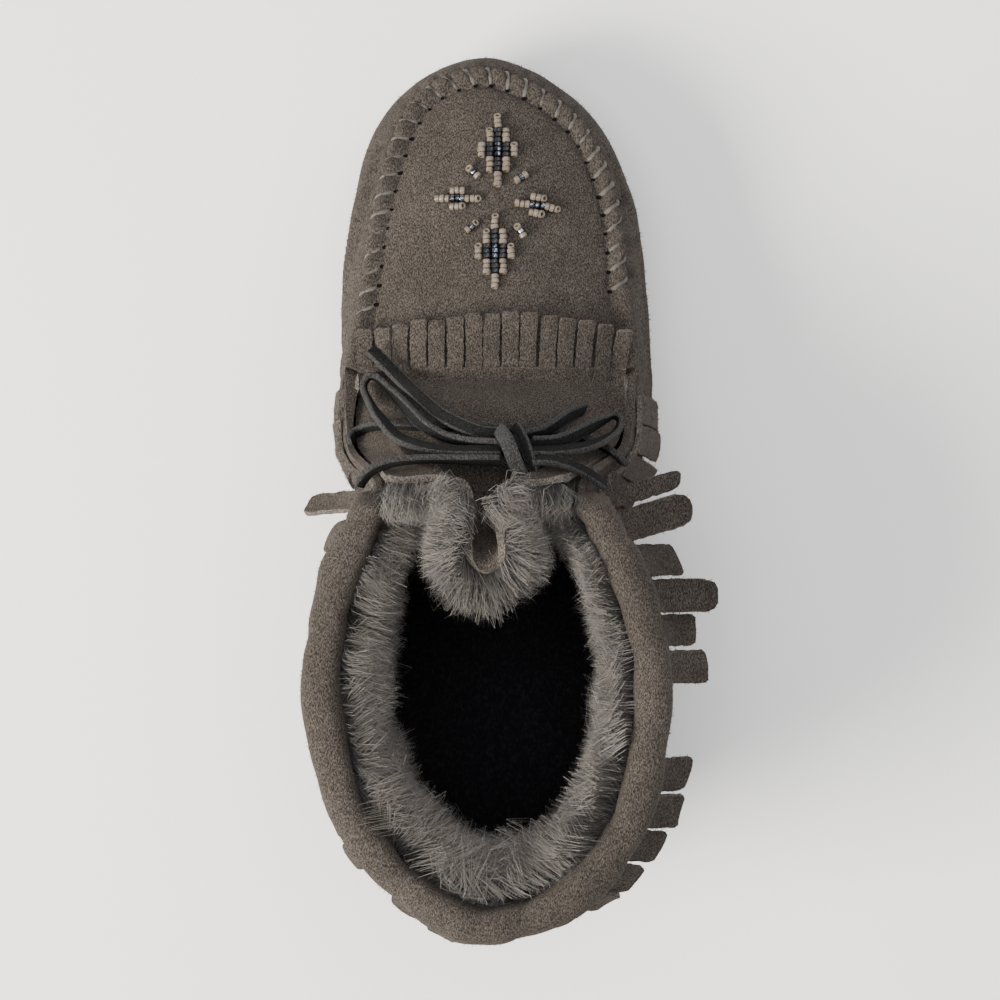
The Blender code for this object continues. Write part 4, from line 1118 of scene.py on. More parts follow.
@dataclass
class Upper:
    """Suede skin of the wall and the apron, with the seam's ridge, gathers and creases."""

    last: Last
    seam: Seam
    ridge_steps: int = 9
    wall_steps: int = 42
    apron_rings: int = 26
    pole_reach: float = 24 * MM

    def creases(self, points: Array, normals: Array) -> Array:
        """Rise of every crease at each point."""
        rise = np.zeros(len(points))
        for crease in CREASES:
            share = np.linspace(0, 1, 24)
            place = crease.place + (crease.to_place - crease.place) * share
            down = crease.down + (crease.to_down - crease.down) * share
            line = self.last.point(place, down * self.last.height(place))
            gap = np.linalg.norm(points[:, None] - line[None], axis=2)
            nearest = gap.argmin(axis=1)
            fade = np.sin(np.pi * np.clip(share[nearest], 0.02, 0.98)) ** 0.6
            rise += 2.4 * crease.rise * MM * fade * np.exp(-(gap.min(axis=1) / (crease.width * MM * 0.6)) ** 2)
        return rise

    def gathers(self, place: Array, down: Array) -> Array:
        """Small pleats where the wall is drawn up to the apron round the toe."""
        round_toe = np.clip((3.6 - self.last.from_toe(place)) / 1.6, 0, 1)
        depth = np.exp(-(np.maximum(down - 4.2 * MM, 0) / (4.5 * MM)) ** 2) * np.clip(down / (2.5 * MM), 0, 1)
        return -1.0 * MM * self.seam.pinch(place, down) * depth * (0.35 + 0.65 * round_toe)

    def build(self, finishes: Finishes) -> bpy.types.Object:
        """Makes the skin as one closed body."""
        last, seam = self.last, self.seam
        columns = RING * last.columns_per_row
        place = np.arange(columns) / last.columns_per_row
        height = last.height(place)
        near = np.linspace(0, seam.half * 1.4, self.ridge_steps + 1)
        far = np.linspace(0, 1, self.wall_steps + 1)[1:]
        down = np.concatenate(
            (np.tile(near, (columns, 1)), near[-1] + (height[:, None] - near[-1]) * far), axis=1)
        levels = down.shape[1]
        wide = np.repeat(place[:, None], levels, axis=1)
        wall = last.point(wide, down)
        share = seam.share(wide)
        relief = seam.crest(wide, down) * share
        relief += self.gathers(wide, down)
        edge_groove = np.exp(-((down - 3.2 * MM) / (0.7 * MM)) ** 2) * (1 - share)
        relief -= 0.2 * MM * edge_groove * (last.from_toe(wide) < CORNER + 0.2)
        faces = grid_faces(columns, levels, closed=True)
        points = wall.reshape(-1, 3)
        relief = relief.reshape(-1)
        relief += self.creases(points, points)
        apron, apron_relief, apron_faces = self.apron(columns, levels, len(points), wall)
        points = np.concatenate((points, apron))
        relief = np.concatenate((relief, apron_relief))
        faces = np.concatenate((faces, apron_faces))
        relief += wavy(points, 9 * MM) * 0.26 * MM + wavy(points, 24 * MM, 3.0) * 0.55 * MM
        normals = normals_of(points, faces)
        outer = points + normals * relief[:, None]
        inner = points + normals * (np.minimum(relief + 0.7 * last.wall, 0) - last.wall)[:, None]
        level = np.zeros(len(points))
        level[:down.size] = (np.exp(-(down / (1.6 * MM)) ** 2) * (last.from_toe(wide) > SEAM_END)).reshape(-1)
        inner[:, 2] += 0.8 * level * (outer[:, 2] - inner[:, 2])
        body, polygons, marks = close_sheet(outer, inner, faces)
        for index, polygon in enumerate(polygons):
            _, y, z = body[polygon[0]]
            if -44 * MM < y < 8 * MM and z > 40 * MM:
                marks[index] = 0
        return add_piece("suede_upper", body, polygons, marks,
                         [finishes.suede, finishes.lining, finishes.suede], Slot.SUEDE, replaces=["upper"])

    def apron(self, columns: int, levels: int, base: int, wall: Array) -> tuple[Array, Array, Array]:
        """Closes the forefoot inside the seam.

        Args:
            columns: Columns of the wall.
            levels: Points in one column.
            base: Points made so far.
            wall: The wall's points.

        Returns:
            Points, their rise and the faces, the seam's own points being the wall's.
        """
        last, seam = self.last, self.seam
        reach = int(SEAM_END * last.columns_per_row)
        index = np.arange(-reach, reach + 1)
        place = index / last.columns_per_row
        edge = wall[index % columns, 0]
        medial, lateral, _ = last.seam_half(edge[:, 1])
        toe_y = last.along(0.0) + self.pole_reach
        spine_y = np.maximum(edge[:, 1], toe_y)
        spine_medial, spine_lateral, _ = last.seam_half(spine_y)
        spine = np.stack(((spine_medial + spine_lateral) / 2, spine_y, np.zeros_like(spine_y)), axis=1)
        out = last.outward(place)
        rings = []
        rises = []
        level_end = np.clip((np.abs(place) - (SEAM_END - 0.8)) / 0.8, 0, 1)
        for step in range(1, self.ridge_steps + 1):
            inset = seam.half * 1.4 * step / self.ridge_steps
            point = edge - out * inset
            point[:, 1] = point[:, 1] * (1 - level_end) + edge[:, 1] * level_end
            rings.append(point)
            rises.append(seam.crest(place, np.full(len(place), -inset)))
        inner = rings[-1]
        for step in range(1, self.apron_rings + 1):
            share = step / self.apron_rings
            rings.append(inner + (spine - inner) * share)
            near = np.linalg.norm((rings[-1] - inner)[:, :2], axis=1)
            dimple = np.exp(-(near / (1.0 * MM)) ** 2) * seam.pinch(place, -seam.half)
            rises.append(-0.3 * MM * dimple)
        points = np.stack(rings, axis=1)
        points[..., 2] = last.apron_height(points[..., 0], points[..., 1])
        rows = points.shape[1]
        own = base + np.arange(len(place) * rows).reshape(len(place), rows)
        first = {}
        for column, point in enumerate(points[:, -1]):
            key = (round(point[0] / MM, 3), round(point[1] / MM, 3))
            own[column, -1] = first.setdefault(key, own[column, -1])
        grid = np.concatenate(((index % columns * levels)[:, None], own), axis=1)
        faces = np.stack((grid[:-1, :-1], grid[1:, :-1], grid[1:, 1:], grid[:-1, 1:]), axis=-1)
        faces = faces.reshape(-1, 4)
        return points.reshape(-1, 3), np.stack(rises, axis=1).reshape(-1), faces


# Beads

class Motif(NamedTuple):
    """Group of beads: node that it stands for, middle as shares of the last, turn in degrees."""

    node: str
    along: float
    side: float
    turn: float
    threads: tuple[str, ...]


# Beads of each thread, the middle one first, then the ones beside it: t tan, b black, m metal
UPRIGHT = ("tttbbbmmmbbbttt", "tttbbbttt", "ttt")
LEVEL = ("tttmmmttt", "ttt")
DASH = ("tmt",)
BEAD_KINDS = {"t": Bead.TAN, "b": Bead.BLACK, "m": Bead.METAL}

MOTIFS = (
    Motif("beads_front_diamond", 0.100, -0.009, 90, UPRIGHT),
    Motif("beads_back_diamond", 0.227, 0.000, 90, UPRIGHT),
    Motif("beads_medial_diamond", 0.161, 0.116, 0, LEVEL),
    Motif("beads_lateral_diamond", 0.170, -0.129, -8, LEVEL),
    Motif("beads_dash_1", 0.128, 0.066, 135, DASH),
    Motif("beads_dash_2", 0.135, -0.081, 34, DASH),
    Motif("beads_dash_3", 0.196, 0.072, 42, DASH),
    Motif("beads_dash_4", 0.202, -0.078, 124, DASH),
)


@dataclass
class Beadwork:
    """Seed beads sewn to the apron in a four-pointed star."""

    last: Last
    pitch: float = 1.5 * MM
    width: float = 2.4 * MM
    hole: float = 0.42 * MM
    sides: int = 14
    turns: int = 8

    def bead(self, points: list, faces: list, middle: Array, run: Array, size: float) -> None:
        """Adds one bead, a short tube with round ends, to a list of points and faces."""
        base = len(points)
        side = unit(np.cross(run, UP))
        up = np.cross(side, run)
        outer = self.width / 2 * size
        ring = (outer + self.hole) / 2
        for turn in range(self.sides):
            angle = 2 * math.pi * turn / self.sides
            out = side * math.cos(angle) + up * math.sin(angle)
            for step in range(self.turns):
                section = 2 * math.pi * step / self.turns
                reach = math.copysign(abs(math.cos(section)) ** 0.75, math.cos(section))
                length = math.copysign(abs(math.sin(section)) ** 0.75, math.sin(section))
                points.append(middle + out * (ring + (outer - self.hole) / 2 * reach)
                              + run * (self.pitch * 0.49 * size * length))
        for turn in range(self.sides):
            following = (turn + 1) % self.sides
            for step in range(self.turns):
                after = (step + 1) % self.turns
                faces.append((
                    base + turn * self.turns + step, base + following * self.turns + step,
                    base + following * self.turns + after, base + turn * self.turns + after,
                ))

    def build(self, finishes: Finishes) -> None:
        """Makes each motif, seated on the apron."""
        rng = random.Random(5)
        for motif in MOTIFS:
            points: list = []
            faces: list = []
            shades: list[int] = []
            turn = math.radians(motif.turn)
            run = np.array((math.cos(turn), math.sin(turn), 0.0))
            across = np.array((-math.sin(turn), math.cos(turn), 0.0))
            middle = np.array((motif.side * self.last.ball_width + self.last.shift[0],
                               self.last.along(motif.along), 0.0))
            reach = len(motif.threads) - 1
            for line in range(-reach, reach + 1):
                kinds = motif.threads[abs(line)]
                for index, kind in enumerate(kinds):
                    place = middle + across * (line * self.width + rng.uniform(-0.14, 0.14) * MM)
                    place = place + run * ((index - (len(kinds) - 1) / 2) * self.pitch + rng.uniform(-0.1, 0.1) * MM)
                    size = rng.uniform(0.9, 1.06)
                    place[2] = self.last.apron_height(place[0], place[1]) + self.width / 2 * size + 0.1 * MM
                    ahead = place + run * MM
                    ahead[2] = self.last.apron_height(ahead[0], ahead[1]) + self.width / 2 * size + 0.1 * MM
                    tilt = np.array((rng.uniform(-0.12, 0.12), rng.uniform(-0.12, 0.12), 0.0))
                    if index == 0 and rng.random() < 0.7:
                        tilt = tilt - UP * 1.3
                    before = len(faces)
                    self.bead(points, faces, place, unit(unit(ahead - place) + tilt), size)
                    shades += [BEAD_KINDS[kind].value] * (len(faces) - before)
            add_piece(f"seed_{motif.node}", np.array(points), faces, shades, finishes.beads, Slot.BEADS,
                      replaces=[motif.node])


# Tongue

class FoldRow(NamedTuple):
    """Point of the tongue's top edge: shares of its width, of the fold's depth and of the pile."""

    across: float
    forward: float
    thick: float


FOLD_ROWS = (
    FoldRow(0.00, 0.02, 0.5),
    FoldRow(0.10, 0.00, 0.9),
    FoldRow(0.25, 0.02, 1.0),
    FoldRow(0.37, 0.00, 0.5),
    FoldRow(0.450, -0.05, 0.15),
    FoldRow(0.494, -0.20, 0.15),
    FoldRow(0.498, -0.46, 0.6),
    FoldRow(0.485, -0.74, 1.0),
    FoldRow(0.505, -0.91, 1.0),
    FoldRow(0.558, -0.99, 1.0),
    FoldRow(0.612, -0.93, 1.0),
    FoldRow(0.634, -0.76, 1.0),
    FoldRow(0.612, -0.50, 0.6),
    FoldRow(0.590, -0.25, 0.15),
    FoldRow(0.628, -0.10, 0.15),
    FoldRow(0.725, -0.04, 0.5),
    FoldRow(0.87, -0.02, 0.9),
    FoldRow(1.00, 0.02, 0.5),
)


class RiseRow(NamedTuple):
    """Row of the tongue: place of its edges, share of the crown, how far the fold is in."""

    place: float
    crown: float
    folded: float


RISE_ROWS = (
    RiseRow(4.75, 0.574, 0.00),
    RiseRow(5.08, 0.574, 0.00),
    RiseRow(5.32, 0.732, 0.00),
    RiseRow(5.65, 0.872, 0.00),
    RiseRow(5.98, 1.000, 0.05),
    RiseRow(6.28, 0.979, 0.25),
    RiseRow(6.58, 0.809, 0.55),
    RiseRow(6.85, 0.511, 0.82),
    RiseRow(7.00, 0.000, 1.00),
)


@dataclass
class Tongue:
    """Wide bellows tongue whose top edge is gathered in one inward fold."""

    last: Last
    height: float = 112.5 * MM
    width: float = 49.0 * MM
    fold_depth: float = 26.8 * MM
    crown: float = 23.5 * MM
    wall: float = 2 * MM
    front_along: float = 0.502
    middle_x: float = 5.5 * MM
    tuck: float = 1.4 * MM
    edge_gap: float = 1.0 * MM
    apron_gap: float = 0.85 * MM
    row_pieces: int = 12
    fold_pieces: int = 8

    def edge(self, place: float) -> Array:
        """Edge of the tongue inside the quarter's wall."""
        return self.last.point(place, self.tuck, -(self.last.wall + self.edge_gap))

    def sheet(self) -> Array:
        """Outer face of the tongue: rows from its foot to its top edge, medial to lateral."""
        rows = []
        front_y = self.last.along(self.front_along)
        for row in RISE_ROWS:
            medial = self.edge(row.place)
            lateral = self.edge(-row.place)
            points = []
            for index, fold in enumerate(FOLD_ROWS):
                even = index / (len(FOLD_ROWS) - 1)
                bowed = medial + (lateral - medial) * even
                bowed = bowed + UP * row.crown * self.crown * (1 - abs(2 * even - 1) ** 2)
                if row.place < SEAM_END + 0.1:
                    under = self.last.apron_height(bowed[0], bowed[1]) - self.last.wall - self.apron_gap
                    bowed[2] = min(under, bowed[2])
                folded = np.array((
                    self.middle_x + self.last.shift[0] + (0.5 - fold.across) * self.width,
                    front_y - fold.forward * self.fold_depth,
                    self.height,
                ))
                deep = row.folded ** (0.2 if 4 <= index <= 13 else 1.0)
                mixed = bowed + (folded - bowed) * deep
                mixed[2] = bowed[2] + (folded[2] - bowed[2]) * row.folded ** 1.3
                points.append(mixed)
            rows.append(points)
        fine = refine(np.array(rows), self.row_pieces)
        return refine(fine.transpose(1, 0, 2), self.fold_pieces).transpose(1, 0, 2)

    def faces_out(self, sheet: Array) -> tuple[Array, Array]:
        """Quads and point normals of the sheet, facing forward and up."""
        faces = grid_faces(sheet.shape[0], sheet.shape[1])[:, ::-1]
        normals = normals_of(sheet.reshape(-1, 3), faces)
        if normals[sheet.shape[1] * self.row_pieces * 2 + sheet.shape[1] // 2][2] < 0:
            faces = faces[:, ::-1]
            normals = -normals
        return faces, normals

    def build(self, finishes: Finishes) -> bpy.types.Object:
        """Makes the tongue as one closed body."""
        sheet = self.sheet()
        faces, normals = self.faces_out(sheet)
        points = sheet.reshape(-1, 3)
        dents = wavy(points, 11 * MM, 5.0) * 0.5 * MM + wavy(points, 4 * MM, 9.0) * 0.12 * MM
        outer = points + normals * dents[:, None]
        inner = points - normals * self.wall
        return add_piece("suede_tongue", *close_sheet(outer, inner, faces),
                         [finishes.suede, finishes.fur_bed, finishes.suede_edge_fuzz_and_highlight], Slot.SUEDE,
                         replaces=["tongue"])


# Collar

class CuffRow(NamedTuple):
    """Point of the cuff's section: on its skirt, over the rim or on its lip."""

    part: str
    out: float
    up: float
    inside: bool


CUFF_ROWS = (
    CuffRow("skirt", 0.10, -1.00, True),
    CuffRow("skirt", 0.30, -1.02, False),
    CuffRow("skirt", 0.60, -0.98, False),
    CuffRow("skirt", 0.84, -0.72, False),
    CuffRow("skirt", 0.99, -0.25, False),
    CuffRow("rim", 0.98, 0.42, False),
    CuffRow("rim", 0.54, 0.92, False),
    CuffRow("rim", -0.18, 1.06, False),
    CuffRow("rim", -0.70, 0.78, False),
    CuffRow("lip", -0.86, 0.00, False),
    CuffRow("lip", -0.74, -0.95, False),
    CuffRow("lip", -0.50, -1.05, True),
    CuffRow("rim", -0.36, 0.05, True),
    CuffRow("rim", 0.08, 0.05, True),
    CuffRow("skirt", 0.12, -0.30, True),
    CuffRow("skirt", 0.10, -0.65, True),
)


class Dent(NamedTuple):
    """Soft dent or swelling over the padded cuff."""

    place: float
    slant: float        # places that it shifts from the rim to the hem
    width: float        # places
    rise: float         # mm


CUFF_DENTS = (
    Dent(7.35, 0.5, 0.10, -1.0),
    Dent(7.9, 0.3, 0.16, 0.7),
    Dent(8.5, 0.4, 0.12, -0.7),
    Dent(9.3, -0.3, 0.22, 0.6),
    Dent(10.1, 0.2, 0.12, -0.6),
    Dent(10.9, 0.4, 0.16, -0.8),
    Dent(11.6, 0.1, 0.22, 0.6),
    Dent(12.4, -0.3, 0.12, -0.8),
    Dent(13.0, -0.3, 0.20, 0.6),
    Dent(13.7, -0.4, 0.12, -0.7),
    Dent(14.6, -0.2, 0.18, -0.5),
    Dent(15.3, 0.3, 0.14, -0.8),
    Dent(15.9, -0.3, 0.20, 0.6),
    Dent(16.5, -0.4, 0.10, -1.0),
)


@dataclass
class Cuff:
    """Padded suede roll over the rim, with a skirt outside and a lip inside."""

    last: Last
    radius: float = 5.7 * MM
    drop: float = 19.5 * MM
    lip: float = 4.0 * MM
    hem_stitch: float = 0.86
    pieces: int = 4

    def section(self, place: Array) -> Array:
        """Section of the cuff at places on the ring: columns of points round it."""
        last = self.last
        rows = []
        for row in CUFF_ROWS:
            proud = row.out * self.radius
            if row.part == "rim":
                point = ring_point(last.top, place) + last.outward(place) * proud + UP * (row.up * self.radius)
            elif row.part == "skirt":
                point = last.point(place, -row.up * self.drop, proud)
            else:
                inner = -(last.wall + 0.5 * MM) if row.inside else proud
                point = last.point(place, -row.up * self.lip, min(inner, proud) if row.inside else proud)
            rows.append(point)
        ring = np.stack(rows, axis=0)
        around = np.arange(len(CUFF_ROWS) * self.pieces) / self.pieces
        fine = ring_point(ring.reshape(len(CUFF_ROWS), -1), around)
        return fine.reshape(len(around), len(place), 3).transpose(1, 0, 2)

    def build(self, finishes: Finishes) -> bpy.types.Object:
        """Makes the cuff as one closed body, its ends rounded in."""
        last = self.last
        step = 1 / last.columns_per_row
        place = np.arange(CORNER, RING - CORNER + step / 2, step)
        columns = self.section(place)
        around = columns.shape[1]
        middle = columns.mean(axis=1, keepdims=True)
        end = np.minimum(place - CORNER, RING - CORNER - place)
        shrink = np.sqrt(np.clip(end / 0.22, 0, 1)) * 0.65 + 0.35
        columns = middle + (columns - middle) * shrink[:, None, None]
        turn = np.arange(around) / around * len(CUFF_ROWS)
        outside = np.clip(np.minimum(turn - 0.5, 10.5 - turn), 0, 1)
        rise = np.zeros(columns.shape[:2])
        slide = np.clip((7 - turn) / 6, -0.4, 1)
        for dent in CUFF_DENTS:
            at = dent.place + dent.slant * slide
            rise += dent.rise * MM * np.exp(-((place[:, None] - at[None]) / dent.width) ** 2)
        rise += wavy(columns, 8 * MM, 2.0) * 0.35 * MM + wavy(columns, 20 * MM, 8.0) * 0.45 * MM
        stitch_line = np.exp(-((turn - 3.0) / 0.28) ** 2)
        stitch_dip = 0.6 + 0.4 * np.cos(place[:, None] * last.columns_per_row * 1.35)
        rise -= 0.7 * MM * stitch_line[None] * stitch_dip
        points = columns.reshape(-1, 3)
        faces = grid_faces(len(place), around)
        wrap = np.arange(len(place) - 1)[:, None] * around
        last_row = np.stack((wrap + around - 1, wrap, wrap + around, wrap + 2 * around - 1), axis=-1)
        faces = np.concatenate((faces, last_row.reshape(-1, 4)))
        normals = normals_of(points, faces)
        top = int(np.argmax(columns[len(place) // 2, :, 2]))
        if normals[len(place) // 2 * around + top][2] < 0:
            faces = faces[:, ::-1]
            normals = -normals
        points = points + normals * (rise * outside[None]).reshape(-1, 1)
        caps = [list(range(around)), list(range(len(points) - around, len(points)))[::-1]]
        if tuple(faces[0])[0] < tuple(faces[0])[-1]:
            caps = [cap[::-1] for cap in caps]
        return add_piece("suede_cuff", points, faces.tolist() + caps, None, [finishes.suede], Slot.SUEDE,
                         replaces=["cuff"])


# Fringes

class Flick(NamedTuple):
    """Strip of the collar's fringe that stands out: its end seen from above, in mm in the frame."""

    step: int           # strips from the long one, towards the heel
    x: float
    y: float
    width: float        # mm
    turn: float         # degrees that it is turned about its own length
    corner: float       # mm


FLICKS = (
    Flick(-3, -54.5, -2.5, 5.6, 38, 2.4),
    Flick(-2, -57.8, 5.8, 9.4, 12, 4.2),
    Flick(-1, -54.0, 21.4, 9.6, 0, 0.8),
    Flick(0, -65.0, 31.6, 9.6, 8, 3.6),
    Flick(1, -58.8, 41.8, 9.2, 4, 2.2),
    Flick(2, -62.3, 52.4, 9.4, -3, 1.4),
    Flick(5, -57.0, 83.6, 10.0, 3, 1.8),
    Flick(6, -54.2, 94.6, 10.0, 0, 1.4),
    Flick(7, -48.8, 105.2, 9.8, 5, 1.4),
    Flick(8, -41.6, 114.6, 9.6, -3, 1.8),
    Flick(9, -33.6, 120.8, 9.2, 6, 1.2),
    Flick(10, -21.5, 127.0, 8.6, 2, 1.4),
    Flick(25, 54.6, 5.6, 6.8, 6, 2.2),
)
FRINGE_PLACE = (5.05, 5.60, 6.10, 6.60, 6.95, 7.25, 7.60, 12.0)
FRINGE_DROP = (0.30, 0.36, 0.55, 0.92, 1.16, 1.10, 1.04, 1.04)


@dataclass
class CutStrip:
    """Strip of suede with cut edges and rounded corners."""

    width: float
    thickness: float
    corner: float
    levels: int = 22
    columns: tuple[float, ...] = (-1.0, -0.82, -0.45, 0.0, 0.45, 0.82, 1.0)

    def body(self, route: Array, side: Array, cup: float, rng: np.random.Generator) -> tuple[Array, list, list]:
        """Closed body along a route.

        Args:
            route: Points down its middle.
            side: Direction across it, at each point.
            cup: How far its edges curl, in metres.
            rng: Random numbers.

        Returns:
            Points, faces, and 0 for its faces or 1 for its cut edges.
        """
        run = np.concatenate(((0.0,), np.cumsum(np.linalg.norm(np.diff(route, axis=0), axis=1))))
        ahead = unit(np.gradient(route, axis=0))
        up = unit(np.cross(side, ahead))
        level = np.linspace(0, 1, self.levels + 1)
        half = self.width / 2
        grid = []
        for column in self.columns:
            past = np.clip((abs(column) * half - (half - self.corner)) / self.corner, 0, 1)
            reach = run[-1] - self.corner * (1 - math.sqrt(1 - past ** 2))
            at = level * (reach + rng.normal(0, 0.16 * MM))
            ragged = rng.normal(0, 0.11 * MM, len(level)) * (abs(column) == 1.0)
            middle, across, lift = (
                np.stack([np.interp(at, run, values[:, axis]) for axis in range(3)], axis=1)
                for values in (route, side, up)
            )
            grid.append(middle + across * (column * half + ragged)[:, None] - lift * (cup * column ** 2 * level)[:, None])
        points = np.stack(grid)
        faces = grid_faces(len(self.columns), len(level))
        flat = points.reshape(-1, 3)
        normals = normals_of(flat, faces)
        body, polygons, marks = close_sheet(
            flat + normals * self.thickness / 2, flat - normals * self.thickness / 2, faces)
        return body, polygons, [mark // 2 for mark in marks]


@dataclass
class Bundle:
    """Bodies gathered into one piece."""

    points: list = field(default_factory=list)
    faces: list = field(default_factory=list)
    shades: list = field(default_factory=list)
    count: int = 0

    def add(self, points: Array, faces: Sequence, shades: Sequence[int]) -> None:
        """Adds a body's points, faces and the finish of each face."""
        self.points.append(points)
        self.faces += [tuple(index + self.count for index in face) for face in faces]
        self.shades += list(shades)
        self.count += len(points)

    def build(self, name: str, finishes: Sequence[bpy.types.Material], slot: Slot, node: str) -> bpy.types.Object:
        """Makes the piece, which stands for a CAD node."""
        return add_piece(name, np.concatenate(self.points), self.faces, self.shades, finishes, slot,
                         replaces=[node])


@dataclass
class CollarFringe:
    """Cut suede strips that hang under the cuff and run forward on both quarters."""

    last: Last
    cuff_drop: float = 19.5 * MM
    start: float = 5.05
    length: float = 29 * MM
    thickness: float = 1.6 * MM
    strip_width: float = 9.7 * MM
    gap: float = 0.7 * MM
    band: float = 3.2 * MM
    proud: float = 0.25 * MM
    long_strip_y: float = 31.6 * MM

    def root(self, place: Array) -> Array:
        """Depth of the fringe's root below the top line."""
        return np.interp(self.last.from_toe(place), FRINGE_PLACE, FRINGE_DROP) * self.cuff_drop

    def line(self) -> tuple[Array, Array, Array]:
        """Distance run, place and point at fine steps along the root."""
        place = self.start + (RING - 2 * self.start) * np.linspace(0, 1, 701)
        points = self.last.point(place, self.root(place), self.proud + self.thickness / 2)
        run = np.concatenate(((0.0,), np.cumsum(np.linalg.norm(np.diff(points, axis=0), axis=1))))
        return run, place, points

    def build(self, finishes: Finishes) -> bpy.types.Object:
        """Makes the band and every strip as one piece."""
        rng = np.random.default_rng(21)
        run, place, points = self.line()
        lateral = place > HEEL + 2
        long_run = float(np.interp(-self.long_strip_y, -points[lateral][:, 1], run[lateral]))
        pitch = self.strip_width + self.gap
        flicks = {row.step: row for row in FLICKS}
        bundle = Bundle()
        first = int((long_run - run[-1] + self.strip_width / 2) / pitch)
        final = int((long_run - self.strip_width / 2) / pitch)
        for step in range(first, final + 1):
            at = long_run - step * pitch
            ring = float(np.interp(at, run, place))
            head = np.array([np.interp(at, run, points[:, axis]) for axis in range(3)])
            ends = [np.array([np.interp(at + off, run, points[:, axis]) for axis in range(3)])
                    for off in (-self.strip_width / 2, self.strip_width / 2)]
            side = unit(ends[1] - ends[0])
            length = self.length * rng.uniform(0.94, 1.05)
            flick = flicks.get(step)
            if flick:
                route = self.flicked(head, ring, flick, length)
                width, corner, turn = flick.width * MM, flick.corner * MM, math.radians(flick.turn)
            else:
                route = self.hanging(ring, length, step)
                width, corner, turn = self.strip_width * rng.uniform(0.94, 1.0), rng.uniform(0.8, 2.6) * MM, 0.0
            share = np.linspace(0, 1, len(route))[:, None]
            out = self.last.outward(np.array(ring))
            ahead = unit(route[-1] - route[0])
            side = side - ahead * float(side @ ahead)
            width *= 1.0 if flick else float(np.linalg.norm(side))
            side = unit(side)
            lie = unit(np.cross(ahead, side))
            angle = turn * np.clip(share * 1.6, 0, 1) + 0.10 * math.sin(step * 1.7) * share
            across = side * np.cos(angle) + lie * np.sin(angle)
            level = unit(np.array((side[0], side[1], 0.0)))
            across = unit(across * (1 - share * 0.6) + (level * np.cos(angle) + out * np.sin(angle)) * share * 0.6)
            strip = CutStrip(width, self.thickness, corner)
            bundle.add(*strip.body(route, across, 0.8 * MM * math.sin(step * 2.3 + 0.5), rng))
        self.band_body(bundle, place)
        return bundle.build("suede_collar_fringe", [finishes.suede, finishes.suede_edge_fuzz_and_highlight], Slot.SUEDE, "cuff_fringe")

    def flicked(self, head: Array, ring: float, flick: Flick, length: float) -> Array:
        """Route of a strip that stands out, from its root to its end."""
        out = self.last.outward(np.array(ring))
        reach = math.hypot(flick.x * MM - head[0], flick.y * MM - head[1])
        drop = math.sqrt(max((length * 0.97) ** 2 - reach ** 2, (6 * MM) ** 2))
        end = np.array((flick.x * MM, flick.y * MM, head[2] - drop))
        lower = head + (end - head) * 0.42 - UP * drop * 0.28 + out * 1.2 * MM
        start = head + UP * self.band * 0.6
        return even_curve(np.array([start, head - UP * 1.5 * MM + out * 0.3 * MM, lower, end]), 1.0 * MM)

    def hanging(self, ring: float, length: float, step: int) -> Array:
        """Route of a strip that hangs against the wall."""
        down = np.linspace(0, 1, 12)
        medial = ring < HEEL
        forward = self.last.from_toe(np.array(ring)) < CORNER
        flare = (3.4 if forward else 11.5 if medial else 5.0) * (0.75 + 0.3 * math.sin(step * 2.1 + 0.6)) * MM
        lean = (0.07 if forward else 0.05) * math.sin(step * 0.9)
        places = np.full(len(down), ring) + lean * down
        root = float(self.root(np.array(ring))) - self.band * 0.6
        depth = np.minimum(root + (length + self.band * 0.6) * down, self.last.height(places) - 2 * MM)
        return even_curve(
            self.last.point(places, depth, self.proud + self.thickness / 2 + flare * down ** 1.6), 1.0 * MM)

    def band_body(self, bundle: Bundle, place: Array) -> None:
        """Adds the uncut band above the strips."""
        ring = place[::4]
        deep = self.root(ring)[:, None] + np.array((-1.6, -0.5, 0.8)) * MM
        wide = np.repeat(ring[:, None], 3, axis=1)
        outer = self.last.point(wide, deep, self.proud + self.thickness * 0.85).reshape(-1, 3)
        inner = self.last.point(wide, deep, self.proud * 0.5).reshape(-1, 3)
        body, polygons, marks = close_sheet(outer, inner, grid_faces(len(ring), 3))
        bundle.add(body, polygons, [mark // 2 for mark in marks])


class VampEnd(NamedTuple):
    """Share of the vamp fringe's width from its medial side, and share of the strip's length there."""

    across: float
    length: float


VAMP_ENDS = (
    VampEnd(0.00, 0.68), VampEnd(0.20, 0.88), VampEnd(0.50, 1.00), VampEnd(0.80, 0.96), VampEnd(1.00, 0.86),
)


